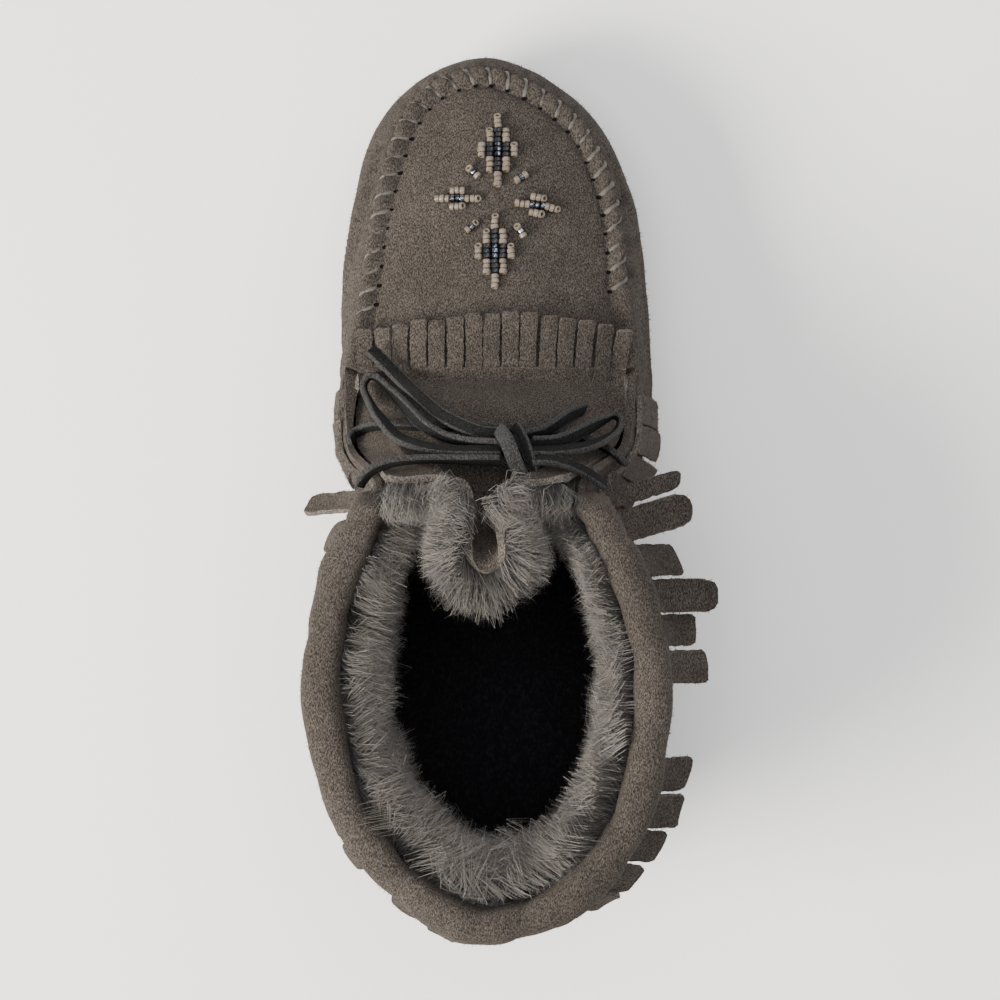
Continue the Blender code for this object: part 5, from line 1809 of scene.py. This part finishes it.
@dataclass
class VampFringe:
    """Short fringe across the foot of the tongue, its strips pointing at the toe."""

    last: Last
    ground: BVHTree
    strip_length: float = 17.4 * MM
    gap: float = 0.6 * MM
    thickness: float = 1.7 * MM
    root_along: float = 0.373
    inset: float = 0.8 * MM
    back_reach: float = 13 * MM
    count: int = 15

    def ground_height(self, x: float, y: float) -> float:
        """Height of what lies under the fringe."""
        hit = self.ground.ray_cast(Vector((x, y, 0.2)), Vector((0, 0, -1)))
        return hit[0].z if hit[0] else 0.0

    def build(self, finishes: Finishes) -> bpy.types.Object:
        """Makes the strips and the panel that joins them to the tongue."""
        rng = np.random.default_rng(4)
        root_y = self.last.along(self.root_along) + 0.7 * MM
        medial, lateral, _ = (float(value) for value in self.last.seam_half(np.array(root_y)))
        medial, lateral = medial - self.inset, lateral + self.inset
        pitch = (medial - lateral) / self.count
        ends_at = [row.across for row in VAMP_ENDS]
        ends_of = [row.length for row in VAMP_ENDS]
        bundle = Bundle()
        for number in range(self.count):
            share = (number + 0.5) / self.count
            length = self.strip_length * np.interp(share, ends_at, ends_of) * rng.uniform(0.97, 1.04)
            aside = (0.30 * max(share - 0.5, 0.0) - 0.10 * max(0.4 - share, 0.0)) * self.strip_length
            lift = rng.uniform(1.8, 3.4) * MM * (1 + 0.5 * (share > 0.7) + 0.4 * (share < 0.15))
            bend = rng.uniform(-0.3, 0.3) * MM
            route = []
            for level in np.linspace(0, 1, 12):
                x = medial - (number + 0.5) * pitch - aside * level ** 1.2 + bend * math.sin(math.pi * level)
                y = root_y + 1.5 * MM + 9 * MM * max(share - 0.7, 0.0) - (length + 1.5 * MM) * level
                route.append((x, y, self.ground_height(x, y)))
            route = np.array(route)
            level = np.linspace(0, 1, 12)
            route[:, 2] = np.convolve(np.pad(route[:, 2], 2, mode="edge"), np.ones(5) / 5, mode="valid")
            rooted = np.clip(level / 0.22, 0, 1)
            route[:, 2] += self.thickness / 2 + 0.4 * MM + lift * level ** 3 - 1.1 * MM * (1 - rooted) ** 2
            tilt = rng.normal(0, 0.05) + 0.12 * max(share - 0.6, 0)
            span = pitch * 0.7
            slope = self.ground_height(route[5, 0] - span, route[5, 1]) - self.ground_height(route[5, 0] + span, route[5, 1])
            side = unit(np.array((-1.0, 0.0, slope / (2 * span) + tilt)))
            strip = CutStrip(pitch - self.gap, self.thickness, rng.uniform(0.4, 0.9) * MM, levels=16)
            bundle.add(*strip.body(route, np.repeat(side[None], len(route), axis=0), 0.25 * MM, rng))
        panel, polygons, marks = self.panel(root_y, medial, lateral)
        bundle.add(panel, polygons, [mark // 2 for mark in marks])
        return bundle.build("suede_vamp_fringe", [finishes.suede, finishes.suede_edge_fuzz_and_highlight], Slot.SUEDE, "vamp_fringe")

    def panel(self, root_y: float, medial: float, lateral: float) -> tuple[Array, list, list[int]]:
        """Suede that joins the strips and runs back over the tongue."""
        columns = []
        for column in range(49):
            across = column / 48
            x = medial - (medial - lateral) * across
            points = []
            for level in range(13):
                run = level / 12
                y = root_y - 1.6 * MM + (self.back_reach + 1.6 * MM) * run
                front = max(0.0, 1 - run / 0.16)
                sink = 0.35 * MM - 2.8 * MM * run ** 2 - 1.0 * MM * front ** 2
                z = self.ground_height(x, y) + sink + self.thickness / 2
                points.append((x, y, z))
            columns.append(points)
        grid_points = np.array(columns)
        smooth = grid_points.copy()
        for _ in range(4):
            smooth[1:-1, 1:-1, 2] = (
                smooth[1:-1, 1:-1, 2] * 2 + smooth[:-2, 1:-1, 2] + smooth[2:, 1:-1, 2]
                + smooth[1:-1, :-2, 2] + smooth[1:-1, 2:, 2]
            ) / 6
        flat = smooth.reshape(-1, 3)
        grid = grid_faces(49, 13)
        normals = normals_of(flat, grid)
        if normals[len(flat) // 2][2] < 0:
            grid = grid[:, ::-1]
            normals = -normals
        return close_sheet(flat + normals * self.thickness / 2, flat - normals * self.thickness / 2, grid)


# Lace

class LaceRun(NamedTuple):
    """Stretch of lace: the node it stands for, its route and how far it lies over.

    The route is in the shoe's own frame, in metres. Rolls are degrees from standing on its edge,
    spread evenly over the route.
    """

    node: str
    route: tuple[tuple[float, float, float], ...]
    rolls: tuple[float, ...]


LACE_BAR = LaceRun("lace_bar", (
    (0.0425, -0.0100, 0.0003), (0.0400, -0.0128, 0.0010), (0.0340, -0.0145, 0.0003), (0.0160, -0.0140, 0.0003),
    (-0.0050, -0.0135, 0.0003), (-0.0240, -0.0110, 0.0003), (-0.0320, -0.0080, 0.0014),
    (-0.0370, -0.0040, 0.0003),
), (40, 24, 12, 22, 10))
LACE_STRANDS = (
    LaceRun("lace_left", (
        (0.0385, 0.0030, 0.1010), (0.0355, -0.0008, 0.1020), (0.0300, -0.0034, 0.1020), (0.0240, -0.0043, 0.1025),
        (0.0170, -0.0046, 0.1030), (0.0100, -0.0044, 0.1035), (0.0040, -0.0042, 0.1040), (-0.0014, -0.0040, 0.1042),
    ), (35, 28, 20, 26, 40)),
    LaceRun("lace_right", (
        (-0.0106, -0.0042, 0.1035), (-0.0160, -0.0042, 0.1035), (-0.0215, -0.0028, 0.1030),
        (-0.0270, 0.0000, 0.1022), (-0.0312, 0.0030, 0.1010),
    ), (-30, -36, -40, -30)),
)
LACE_LOOPS = (
    LaceRun("lace_loop_left", (
        (-0.0014, -0.0068, 0.1015), (0.0030, -0.0068, 0.1020), (0.0097, -0.0068, 0.1018), (0.0160, -0.0072, 0.1000),
        (0.0220, -0.0086, 0.0960), (0.0280, -0.0112, 0.0896), (0.0330, -0.0165, 0.0816), (0.0368, -0.0220, 0.0695),
        (0.0386, -0.0262, 0.0650), (0.0372, -0.0292, 0.0640), (0.0344, -0.0288, 0.0648), (0.0305, -0.0250, 0.0690),
        (0.0257, -0.0198, 0.0802), (0.0208, -0.0148, 0.0896), (0.0145, -0.0112, 0.0930), (0.0080, -0.0096, 0.0970),
        (0.0030, -0.0092, 0.0985), (-0.0014, -0.0091, 0.0990),
    ), (35, 34, 42, 40, 12, 10, 34, 46, 30, 20)),
    LaceRun("lace_loop_right", (
        (-0.0106, -0.0092, 0.0985), (-0.0181, -0.0098, 0.0955), (-0.0252, -0.0128, 0.0880),
        (-0.0310, -0.0160, 0.0806), (-0.0345, -0.0176, 0.0768), (-0.0364, -0.0162, 0.0768),
        (-0.0352, -0.0128, 0.0800), (-0.0304, -0.0098, 0.0880), (-0.0252, -0.0080, 0.0935),
        (-0.0187, -0.0070, 0.0985), (-0.0140, -0.0068, 0.1005), (-0.0106, -0.0068, 0.1010),
    ), (52, 56, 50, 20, 10, 30, 34, 30)),
)
LACE_TAILS = (
    LaceRun("lace_tail_left", (
        (-0.0014, -0.0116, 0.0950), (0.0040, -0.0122, 0.0955), (0.0090, -0.0140, 0.0938), (0.0157, -0.0176, 0.0882),
        (0.0215, -0.0226, 0.0790), (0.0271, -0.0278, 0.0710), (0.0318, -0.0326, 0.0675), (0.0365, -0.0372, 0.0658),
    ), (70, 74, 78, 74, 66, 62)),
    LaceRun("lace_tail_right", (
        (-0.0062, -0.0108, 0.0962), (-0.0106, -0.0120, 0.0945), (-0.0140, -0.0128, 0.0925), (-0.0178, -0.0150, 0.0893),
        (-0.0218, -0.0176, 0.0810), (-0.0258, -0.0196, 0.0735),
    ), (30, 40, 50, 40)),
)
KNOT_WRAPS = (
    LaceRun("lace_knot", (
        (-0.0012, -0.0128, 0.0950), (-0.0022, -0.0118, 0.0995), (-0.0036, -0.0092, 0.1046), (-0.0054, -0.0045, 0.1066),
        (-0.0072, -0.0002, 0.1058), (-0.0084, 0.0026, 0.1020), (-0.0086, 0.0034, 0.0975),
    ), (90, 90, 90, 90, 90, 90)),
    LaceRun("lace_knot", (
        (-0.0060, -0.0138, 0.0940), (-0.0070, -0.0122, 0.0985), (-0.0084, -0.0090, 0.1020), (-0.0098, -0.0048, 0.1038),
        (-0.0108, -0.0010, 0.1030), (-0.0110, 0.0018, 0.0990),
    ), (74, 70, 70, 70, 74)),
)


@dataclass
class Lace:
    """Flat suede lace with a bow: a bar, two strands, a knot, two loops and two free ends."""

    last: Last
    width: float = 3.6 * MM
    thickness: float = 1.8 * MM
    spread: float = 1.14
    step: float = 0.8 * MM
    knot_middle: tuple[float, float, float] = (-0.0060, -0.0070, 0.0990)
    knot_size: tuple[float, float, float] = (0.0074, 0.0142, 0.0086)
    knot_tilt: float = 52.0

    SECTION = (
        (1.0, -0.72), (1.04, 0.0), (1.0, 0.72), (0.72, 0.95), (0.0, 1.0), (-0.72, 0.95),
        (-1.0, 0.72), (-1.04, 0.0), (-1.0, -0.72), (-0.72, -0.95), (0.0, -1.0), (0.72, -0.95),
    )

    def ribbon(self, route: Array, rolls: Sequence[float], width: float = 0.0) -> tuple[Array, list, list[int]]:
        """Flat strip with rounded, slightly ragged edges along a route.

        Args:
            route: Even points, in the frame.
            rolls: Degrees that it lies over, spread evenly along the route.
            width: Its width, or 0 for the lace's own.

        Returns:
            Points, faces and 0 for each face of its sides, 1 for each of its cut edges.
        """
        count = len(route)
        width = width or self.width * self.spread
        tangents = unit(np.gradient(route, axis=0))
        side = unit(np.cross(tangents, UP))
        for index in range(1, count):
            if side[index] @ side[index - 1] < 0:
                side[index] = -side[index]
        rise = np.cross(side, tangents)
        roll = np.radians(smooth_value(np.linspace(0, 1, len(rolls)), rolls, np.linspace(0, 1, count)))[:, None]
        turned = side * np.cos(roll) + rise * np.sin(roll)
        raised = rise * np.cos(roll) - side * np.sin(roll)
        points = []
        for number, (out, up) in enumerate(self.SECTION):
            ragged = 1 + 0.05 * np.sin(np.arange(count) * 1.9 + number * 2.3)[:, None]
            points.append(route + turned * (out * self.thickness / 2) + raised * (up * width / 2) * ragged)
        ring = np.stack(points, axis=1)
        around = len(self.SECTION)
        faces: list = []
        shades = []
        for row in range(count - 1):
            for turn in range(around):
                here, there = row * around + turn, row * around + (turn + 1) % around
                faces.append((here, there, there + around, here + around))
                # Cut edges take the lighter edge finish, which is partly painted highlight.
                shades.append(int(turn % 6 in (2, 3, 4, 5) and turn not in (0, 1, 6, 7)))
        faces.append(tuple(range(around))[::-1])
        faces.append(tuple(range((count - 1) * around, count * around)))
        return ring.reshape(-1, 3), faces, shades + [1, 1]

    def route(self, run: LaceRun) -> Array:
        """Even points of a run, in the frame."""
        return even_curve(np.array(run.route) + self.last.shift, self.step)

    def knot(self, finishes: Finishes) -> bpy.types.Object:
        """Makes the knot: a packed core under two wraps of the lace."""
        points: list = []
        faces: list = []
        shades: list[int] = []
        sides, rows = 20, 12
        tilt = math.radians(self.knot_tilt)
        across = np.array((math.cos(tilt), math.sin(tilt), 0.0))
        beside = np.array((-math.sin(tilt), math.cos(tilt), 0.0))
        middle = np.array(self.knot_middle) + self.last.shift
        core = []
        for row in range(rows + 1):
            angle = math.pi * row / rows
            for turn in range(sides):
                around = 2 * math.pi * turn / sides
                core.append(
                    middle + across * (math.sin(angle) * math.cos(around) * self.knot_size[0] / 2)
                    + UP * (math.sin(angle) * math.sin(around) * self.knot_size[2] / 2)
                    - beside * (math.cos(angle) * self.knot_size[1] / 2))
        points.append(np.array(core))
        for row in range(rows):
            for turn in range(sides):
                here, there = row * sides + turn, row * sides + (turn + 1) % sides
                faces.append((here, here + sides, there + sides, there))
                shades.append(0)
        base = len(core)
        for number, run in enumerate(KNOT_WRAPS):
            body, polygons, marks = self.ribbon(self.route(run), run.rolls, (4.3, 3.2)[number] * MM)
            points.append(body)
            faces += [tuple(index + base for index in face) for face in polygons]
            # The top wrap is wholly in the lighter edge finish: painted highlight on the top of the knot.
            shades += marks if number else [1] * len(marks)
            base += len(body)
        return add_piece("knot_of_lace", np.concatenate(points), faces, shades,
                         [finishes.lace, finishes.lace_fuzz_and_highlight_edge], Slot.LACE, replaces=["lace_knot"])

    def bow(self, finishes: Finishes) -> None:
        """Makes the knot, the loops and the free ends."""
        knot = self.knot(finishes)
        both = [finishes.lace, finishes.lace_fuzz_and_highlight_edge]
        for run in LACE_LOOPS + LACE_TAILS:
            route = self.route(run)
            piece = add_piece(f"suede_{run.node}", *self.ribbon(route, run.rolls), both, Slot.LACE,
                              replaces=[run.node])

    def strands(self, finishes: Finishes, ground: BVHTree) -> None:
        """Makes the two strands to the knot and the bar, which lies on what is under it."""
        both = [finishes.lace, finishes.lace_fuzz_and_highlight_edge]
        for run in LACE_STRANDS:
            add_piece(f"suede_{run.node}", *self.ribbon(self.route(run), run.rolls), both, Slot.LACE,
                      replaces=[run.node])
        route = even_curve(np.array(LACE_BAR.route) + self.last.shift, self.step)
        heights = []
        for point in route:
            hit = ground.ray_cast(Vector((point[0], point[1], 0.2)), Vector((0, 0, -1)))
            heights.append(hit[0].z if hit[0] else 0.08)
        level = np.convolve(np.pad(heights, 3, mode="edge"), np.ones(7) / 7, mode="valid")
        route[:, 2] += np.maximum(level, heights) + self.width / 2 - 0.2 * MM
        add_piece("suede_lace_bar", *self.ribbon(route, LACE_BAR.rolls), both, Slot.LACE,
                  replaces=["lace_bar"])


# Furs

class Fibres(NamedTuple):
    """Fibres in a row: where each one starts and ends, how it bends, its width and its own tone."""

    root: Array
    tip: Array
    bend: Array
    width: Array
    tone: Array


@dataclass
class Pile:
    """Pile of tapered fibres, drawn as narrow ribbons."""

    levels: tuple[float, ...] = (0.0, 0.55)
    widths: tuple[float, ...] = (1.0, 0.85)

    def build(self, name: str, fibres: Fibres, finishes: Finishes, node: str | None) -> None:
        """Makes one piece of pile.

        Args:
            name: The piece's name.
            fibres: Its fibres.
            finishes: Materials of the shoe.
            node: CAD node that it stands for, if any.
        """
        along = unit(fibres.tip - fibres.root)
        flat = unit(np.cross(along, unit(fibres.bend + UP * 1e-4)))
        points = []
        uvs = []
        for level, width in zip(self.levels, self.widths):
            middle = fibres.root + (fibres.tip - fibres.root) * level + fibres.bend * (4 * level * (1 - level))
            for side in (-0.5, 0.5):
                points.append(middle + flat * (fibres.width * width * side)[:, None])
                uvs.append(np.stack((fibres.tone, np.full(len(middle), level)), axis=1))
        points.append(fibres.tip)
        uvs.append(np.stack((fibres.tone, np.ones(len(fibres.tip))), axis=1))
        body = np.stack(points, axis=1).reshape(-1, 3)
        place = np.stack(uvs, axis=1).reshape(-1, 2)
        base = np.arange(len(fibres.root))[:, None] * 5
        low = (base + np.array((0, 1, 3, 2))).tolist()
        end = (base + np.array((2, 3, 4))).tolist()
        add_piece(name, body, low + end, None, [finishes.fur], Slot.FUR, place,
                  replaces=[node] if node else [])


def locks(rng: np.random.Generator, count: int, each: int, spread: float) -> tuple[Array, Array]:
    """Which lock each fibre belongs to, and its offset in two directions in metres."""
    lock = np.repeat(np.arange(count), each)
    return lock, rng.normal(0, spread, (count * each, 2))


@dataclass
class Lining:
    """Faux fur inside the collar, on a backing that runs down to the insole and is near black below the fur, as
    painted shade deep in the shoe.
    """

    last: Last
    start: float = 7.04
    end: float = 16.96
    top: float = 3.2 * MM
    fur_depth: float = 42 * MM
    foot: float = 5.2 * MM
    bed_gap: float = 0.75 * MM

    def surface(self, place: Array, down: Array, proud: Array | float) -> Array:
        """Point inside the wall, proud metres further in than the backing."""
        return self.last.point(place, down, -(self.last.wall + self.bed_gap) - proud)

    def bed(self, finishes: Finishes) -> None:
        """Makes the knitted backing that the fibres grow from; below the fur it is near black, painted shade deep in
        the shoe.
        """
        place = np.linspace(self.start, self.end, 121)
        share = np.linspace(0, 1, 31)
        height = self.last.height(place)[:, None]
        down = self.top + (height - self.foot - self.top) * share
        wide = np.repeat(place[:, None], len(share), axis=1)
        outer = self.surface(wide, down, 0.0).reshape(-1, 3)
        inner = self.surface(wide, down, 1.6 * MM).reshape(-1, 3)
        faces = grid_faces(len(place), len(share))
        points, polygons, _ = close_sheet(outer, inner, faces)
        heights = np.concatenate((down.reshape(-1), down.reshape(-1)))
        # Backing deeper than fur_depth takes the near-black lining: painted shade deep inside the shoe.
        shades = [int(heights[face[0]] > self.fur_depth) for face in polygons]
        add_piece("pile_backing", points, polygons, shades, [finishes.fur_bed, finishes.lining], Slot.FUR)

    def fibres(self, rng: np.random.Generator, count: int, top: float, foot: float) -> Fibres:
        """Fibres in locks between two depths below the top line.

        Args:
            rng: Random numbers.
            count: Locks.
            top: Depth of the highest locks, in metres.
            foot: Depth of the lowest ones, in metres.

        Returns:
            The fibres.
        """
        each = 24
        lock_place = rng.uniform(self.start, self.end, count)
        lock_down = top + (foot - top) * rng.uniform(0, 1, count) ** 1.1
        lock, offset = locks(rng, count, each, 1.7 * MM)
        place = np.clip(lock_place[lock] + offset[:, 0] / (26 * MM), self.start, self.end)
        down = np.clip(lock_down[lock] + offset[:, 1], self.top, foot + 2 * MM)
        root = self.surface(place, down, 1.2 * MM)
        inward = -self.last.normal(place, down)
        around = unit(np.cross(UP, inward))
        near_top = np.clip(1 - (down - self.top) / (16 * MM), 0, 1)
        lock_root = self.surface(lock_place, lock_down, 0.0)
        swirl = wavy(lock_root, 15 * MM, 3.0) * 1.5 + wavy(lock_root, 6 * MM, 21.0) * 0.8
        droop = wavy(lock_root, 13 * MM, 12.0) * 0.8
        lean = rng.normal(0, 0.2, (count, 2))
        lift = 0.5 * near_top - 0.3 * (1 - near_top) + (droop + lean[:, 1])[lock]
        heading = inward + UP * lift[:, None] + around * (swirl + lean[:, 0])[lock][:, None]
        heading += rng.normal(0, 0.08, heading.shape)
        heel = np.exp(-((place - HEEL) / 2.0) ** 2)
        medial = np.clip((HEEL - place) / 2, 0, 1)
        length = (9.5 + 2.5 * near_top + 6.5 * heel + 2.5 * medial) * MM * rng.uniform(0.75, 1.15, len(lock))
        length *= 1 + 0.22 * wavy(lock_root, 8 * MM, 30.0)[lock]
        pull = (around * offset[:, :1] - UP * offset[:, 1:]) * 0.7
        tip = root + unit(heading) * length[:, None] - pull
        curl = rng.normal(0, 0.2, (count, 3))[lock] + rng.normal(0, 0.04, root.shape)
        bend = (UP * 0.05 + curl) * length[:, None]
        tone = rng.normal(0, 0.26, count)[lock] + rng.normal(0, 0.08, len(lock))
        tone = np.clip(0.46 + 0.2 * wavy(lock_root, 7 * MM, 17.0)[lock] + tone, 0, 1)
        return Fibres(root, tip, bend, rng.uniform(0.15, 0.27, len(lock)) * MM, tone)

    def build(self, finishes: Finishes) -> None:
        """Makes the backing and the pile."""
        rng = np.random.default_rng(8)
        self.bed(finishes)
        pile = Pile()
        pile.build("collar_pile_high", self.fibres(rng, 2650, self.top, 17 * MM), finishes, "fur_lining")
        pile.build("collar_pile_low", self.fibres(rng, 2450, 14 * MM, self.fur_depth), finishes, None)


@dataclass
class TongueFur:
    """Faux fur on the back of the tongue, standing over its top edge."""

    tongue: Tongue
    count: int = 1900
    each: int = 24

    def build(self, finishes: Finishes) -> None:
        """Makes the pile."""
        rng = np.random.default_rng(31)
        sheet = self.tongue.sheet()
        faces, normals = self.tongue.faces_out(sheet)
        rows, columns = sheet.shape[:2]
        normals = normals.reshape(rows, columns, 3)
        first = self.tongue.row_pieces * 3
        lock_row = first + (rows - 1 - first) * rng.uniform(0, 1, self.count) ** 0.55
        lock_column = rng.uniform(self.tongue.fold_pieces * 0.6, columns - 1 - self.tongue.fold_pieces * 0.6, self.count)
        lock, offset = locks(rng, self.count, self.each, 1.5)
        row = np.clip(lock_row[lock] + offset[:, 0], first, rows - 1.001)
        column = np.clip(lock_column[lock] + offset[:, 1] * 2, 2, columns - 3)
        low, left = row.astype(int), column.astype(int)
        rise = normals[low, left]
        below, above = sheet[low, left], sheet[low + 1, left]
        beside = sheet[low, left + 1]
        point = below + (above - below) * (row - low)[:, None] + (beside - below) * (column - left)[:, None]
        up_sheet = unit(above - below)
        root = point - rise * (self.tongue.wall + 0.1 * MM)
        near_top = np.clip((row - rows * 0.78) / (rows * 0.22), 0, 1)
        lean = rng.normal(0, 0.25, (self.count, 3))
        swirl = np.stack([wavy(root, 12 * MM, seed) for seed in (1.0, 6.0, 14.0)], axis=1) * 0.75
        heading = -rise * 1.0 + up_sheet * (0.10 - 0.12 * near_top)[:, None]
        heading = unit(heading + swirl + lean[lock] + rng.normal(0, 0.12, rise.shape))
        heading -= rise * np.maximum(0.45 + np.sum(heading * rise, axis=1), 0)[:, None]
        bottom = np.exp(-((column / self.tongue.fold_pieces - 9) / 1.7) ** 2)
        length = (10 + 1.5 * near_top + 5.5 * bottom) * MM * rng.uniform(0.8, 1.15, len(lock))
        tip = root + unit(heading) * length[:, None]
        curl = rng.normal(0, 0.18, (self.count, 3))[lock] + rng.normal(0, 0.04, root.shape)
        bend = (UP * 0.04 + curl) * length[:, None]
        tone = np.clip(0.5 + rng.normal(0, 0.24, self.count)[lock] + rng.normal(0, 0.1, len(lock)), 0, 1)
        fibres = Fibres(root, tip, bend, rng.uniform(0.15, 0.26, len(lock)) * MM, tone)
        Pile().build("tongue_pile", fibres, finishes, "tongue_fur")


@dataclass
class Nap:
    """Loose fibre ends that stand out of the suede, most of all from its cut edges."""

    count: int = 46000
    length: float = 1.3 * MM
    width: float = 0.19 * MM
    edge_share: float = 2.5

    def corners(self, piece: bpy.types.Object, finishes: Finishes) -> tuple[Array, Array]:
        """Triangles of a piece's suede faces.

        Args:
            piece: The piece.
            finishes: Materials of the shoe.

        Returns:
            Three corners of each triangle, and how thick the fibre ends stand on it.
        """
        mesh = piece.data
        mesh.calc_loop_triangles()
        indices = np.empty(len(mesh.loop_triangles) * 3, dtype=int)
        kinds = np.empty(len(mesh.loop_triangles), dtype=int)
        points = np.empty(len(mesh.vertices) * 3)
        mesh.loop_triangles.foreach_get("vertices", indices)
        mesh.loop_triangles.foreach_get("material_index", kinds)
        mesh.vertices.foreach_get("co", points)
        shares = {finishes.suede: 1.0, finishes.suede_edge_fuzz_and_highlight: self.edge_share}
        weight = np.array([shares.get(material, 0.0) for material in mesh.materials])[kinds]
        return points.reshape(-1, 3)[indices.reshape(-1, 3)], weight

    def build(self, pieces: Sequence[bpy.types.Object], finishes: Finishes) -> None:
        """Makes the fibre ends of all suede pieces."""
        rng = np.random.default_rng(77)
        parts = [self.corners(piece, finishes) for piece in pieces]
        corners = np.concatenate([part[0] for part in parts])
        normal = np.cross(corners[:, 1] - corners[:, 0], corners[:, 2] - corners[:, 0])
        weight = np.linalg.norm(normal, axis=1) * np.concatenate([part[1] for part in parts])
        chosen = rng.choice(len(corners), self.count, p=weight / weight.sum())
        share = rng.uniform(0, 1, (self.count, 2))
        share = np.where(share.sum(axis=1, keepdims=True) > 1, 1 - share, share)
        first, second, third = (corners[chosen, index] for index in range(3))
        root = first + (second - first) * share[:, :1] + (third - first) * share[:, 1:]
        out = unit(normal[chosen])
        along = unit(out * rng.uniform(0.3, 0.9, (self.count, 1)) + rng.normal(0, 0.5, root.shape))
        along += out * np.maximum(0.15 - np.sum(along * out, axis=1), 0)[:, None]
        tip = root + along * self.length * rng.uniform(0.3, 1.0, (self.count, 1))
        side = unit(np.cross(along, rng.normal(0, 1, root.shape))) * self.width / 2
        body = np.stack((root - side, root + side, tip), axis=1).reshape(-1, 3)
        add_piece("suede_nap", body, np.arange(self.count * 3).reshape(-1, 3), None, [finishes.suede], Slot.SUEDE)


@dataclass
class Bottom:
    """Crepe sole and padded insole."""

    def build(self, finishes: Finishes) -> None:
        """Gives both their real materials."""
        for node, finish in (("outsole", finishes.rubber), ("insole", finishes.insole)):
            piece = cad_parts[node]
            piece.data.materials.clear()
            piece.data.materials.append(finish)


def surface_of(*pieces: bpy.types.Object) -> BVHTree:
    """Search tree of the faces of some pieces."""
    points: list = []
    faces: list = []
    for piece in pieces:
        base = len(points)
        points += [vertex.co.copy() for vertex in piece.data.vertices]
        faces += [[base + index for index in polygon.vertices] for polygon in piece.data.polygons]
    return BVHTree.FromPolygons(points, faces)


def main() -> None:
    """Builds the whole shoe."""
    logging.basicConfig(level=logging.INFO, format="%(message)s")
    studio = Studio()
    studio.camera()
    studio.dress()
    finishes = Finishes()
    last = Last()
    lace = Lace(last)
    lace.bow(finishes)
    seam = Seam(last)
    skin = Upper(last, seam).build(finishes)
    seam.build(finishes)
    Beadwork(last).build(finishes)
    tongue = Tongue(last)
    tongue_piece = tongue.build(finishes)
    ground = surface_of(skin, tongue_piece)
    vamp_fringe = VampFringe(last, ground).build(finishes)
    lace.strands(finishes, ground)
    cuff = Cuff(last).build(finishes)
    collar_fringe = CollarFringe(last).build(finishes)
    Nap().build([skin, tongue_piece, vamp_fringe, cuff, collar_fringe], finishes)
    Lining(last).build(finishes)
    TongueFur(tongue).build(finishes)
    Bottom().build(finishes)


if __name__ == "__main__":
    main()
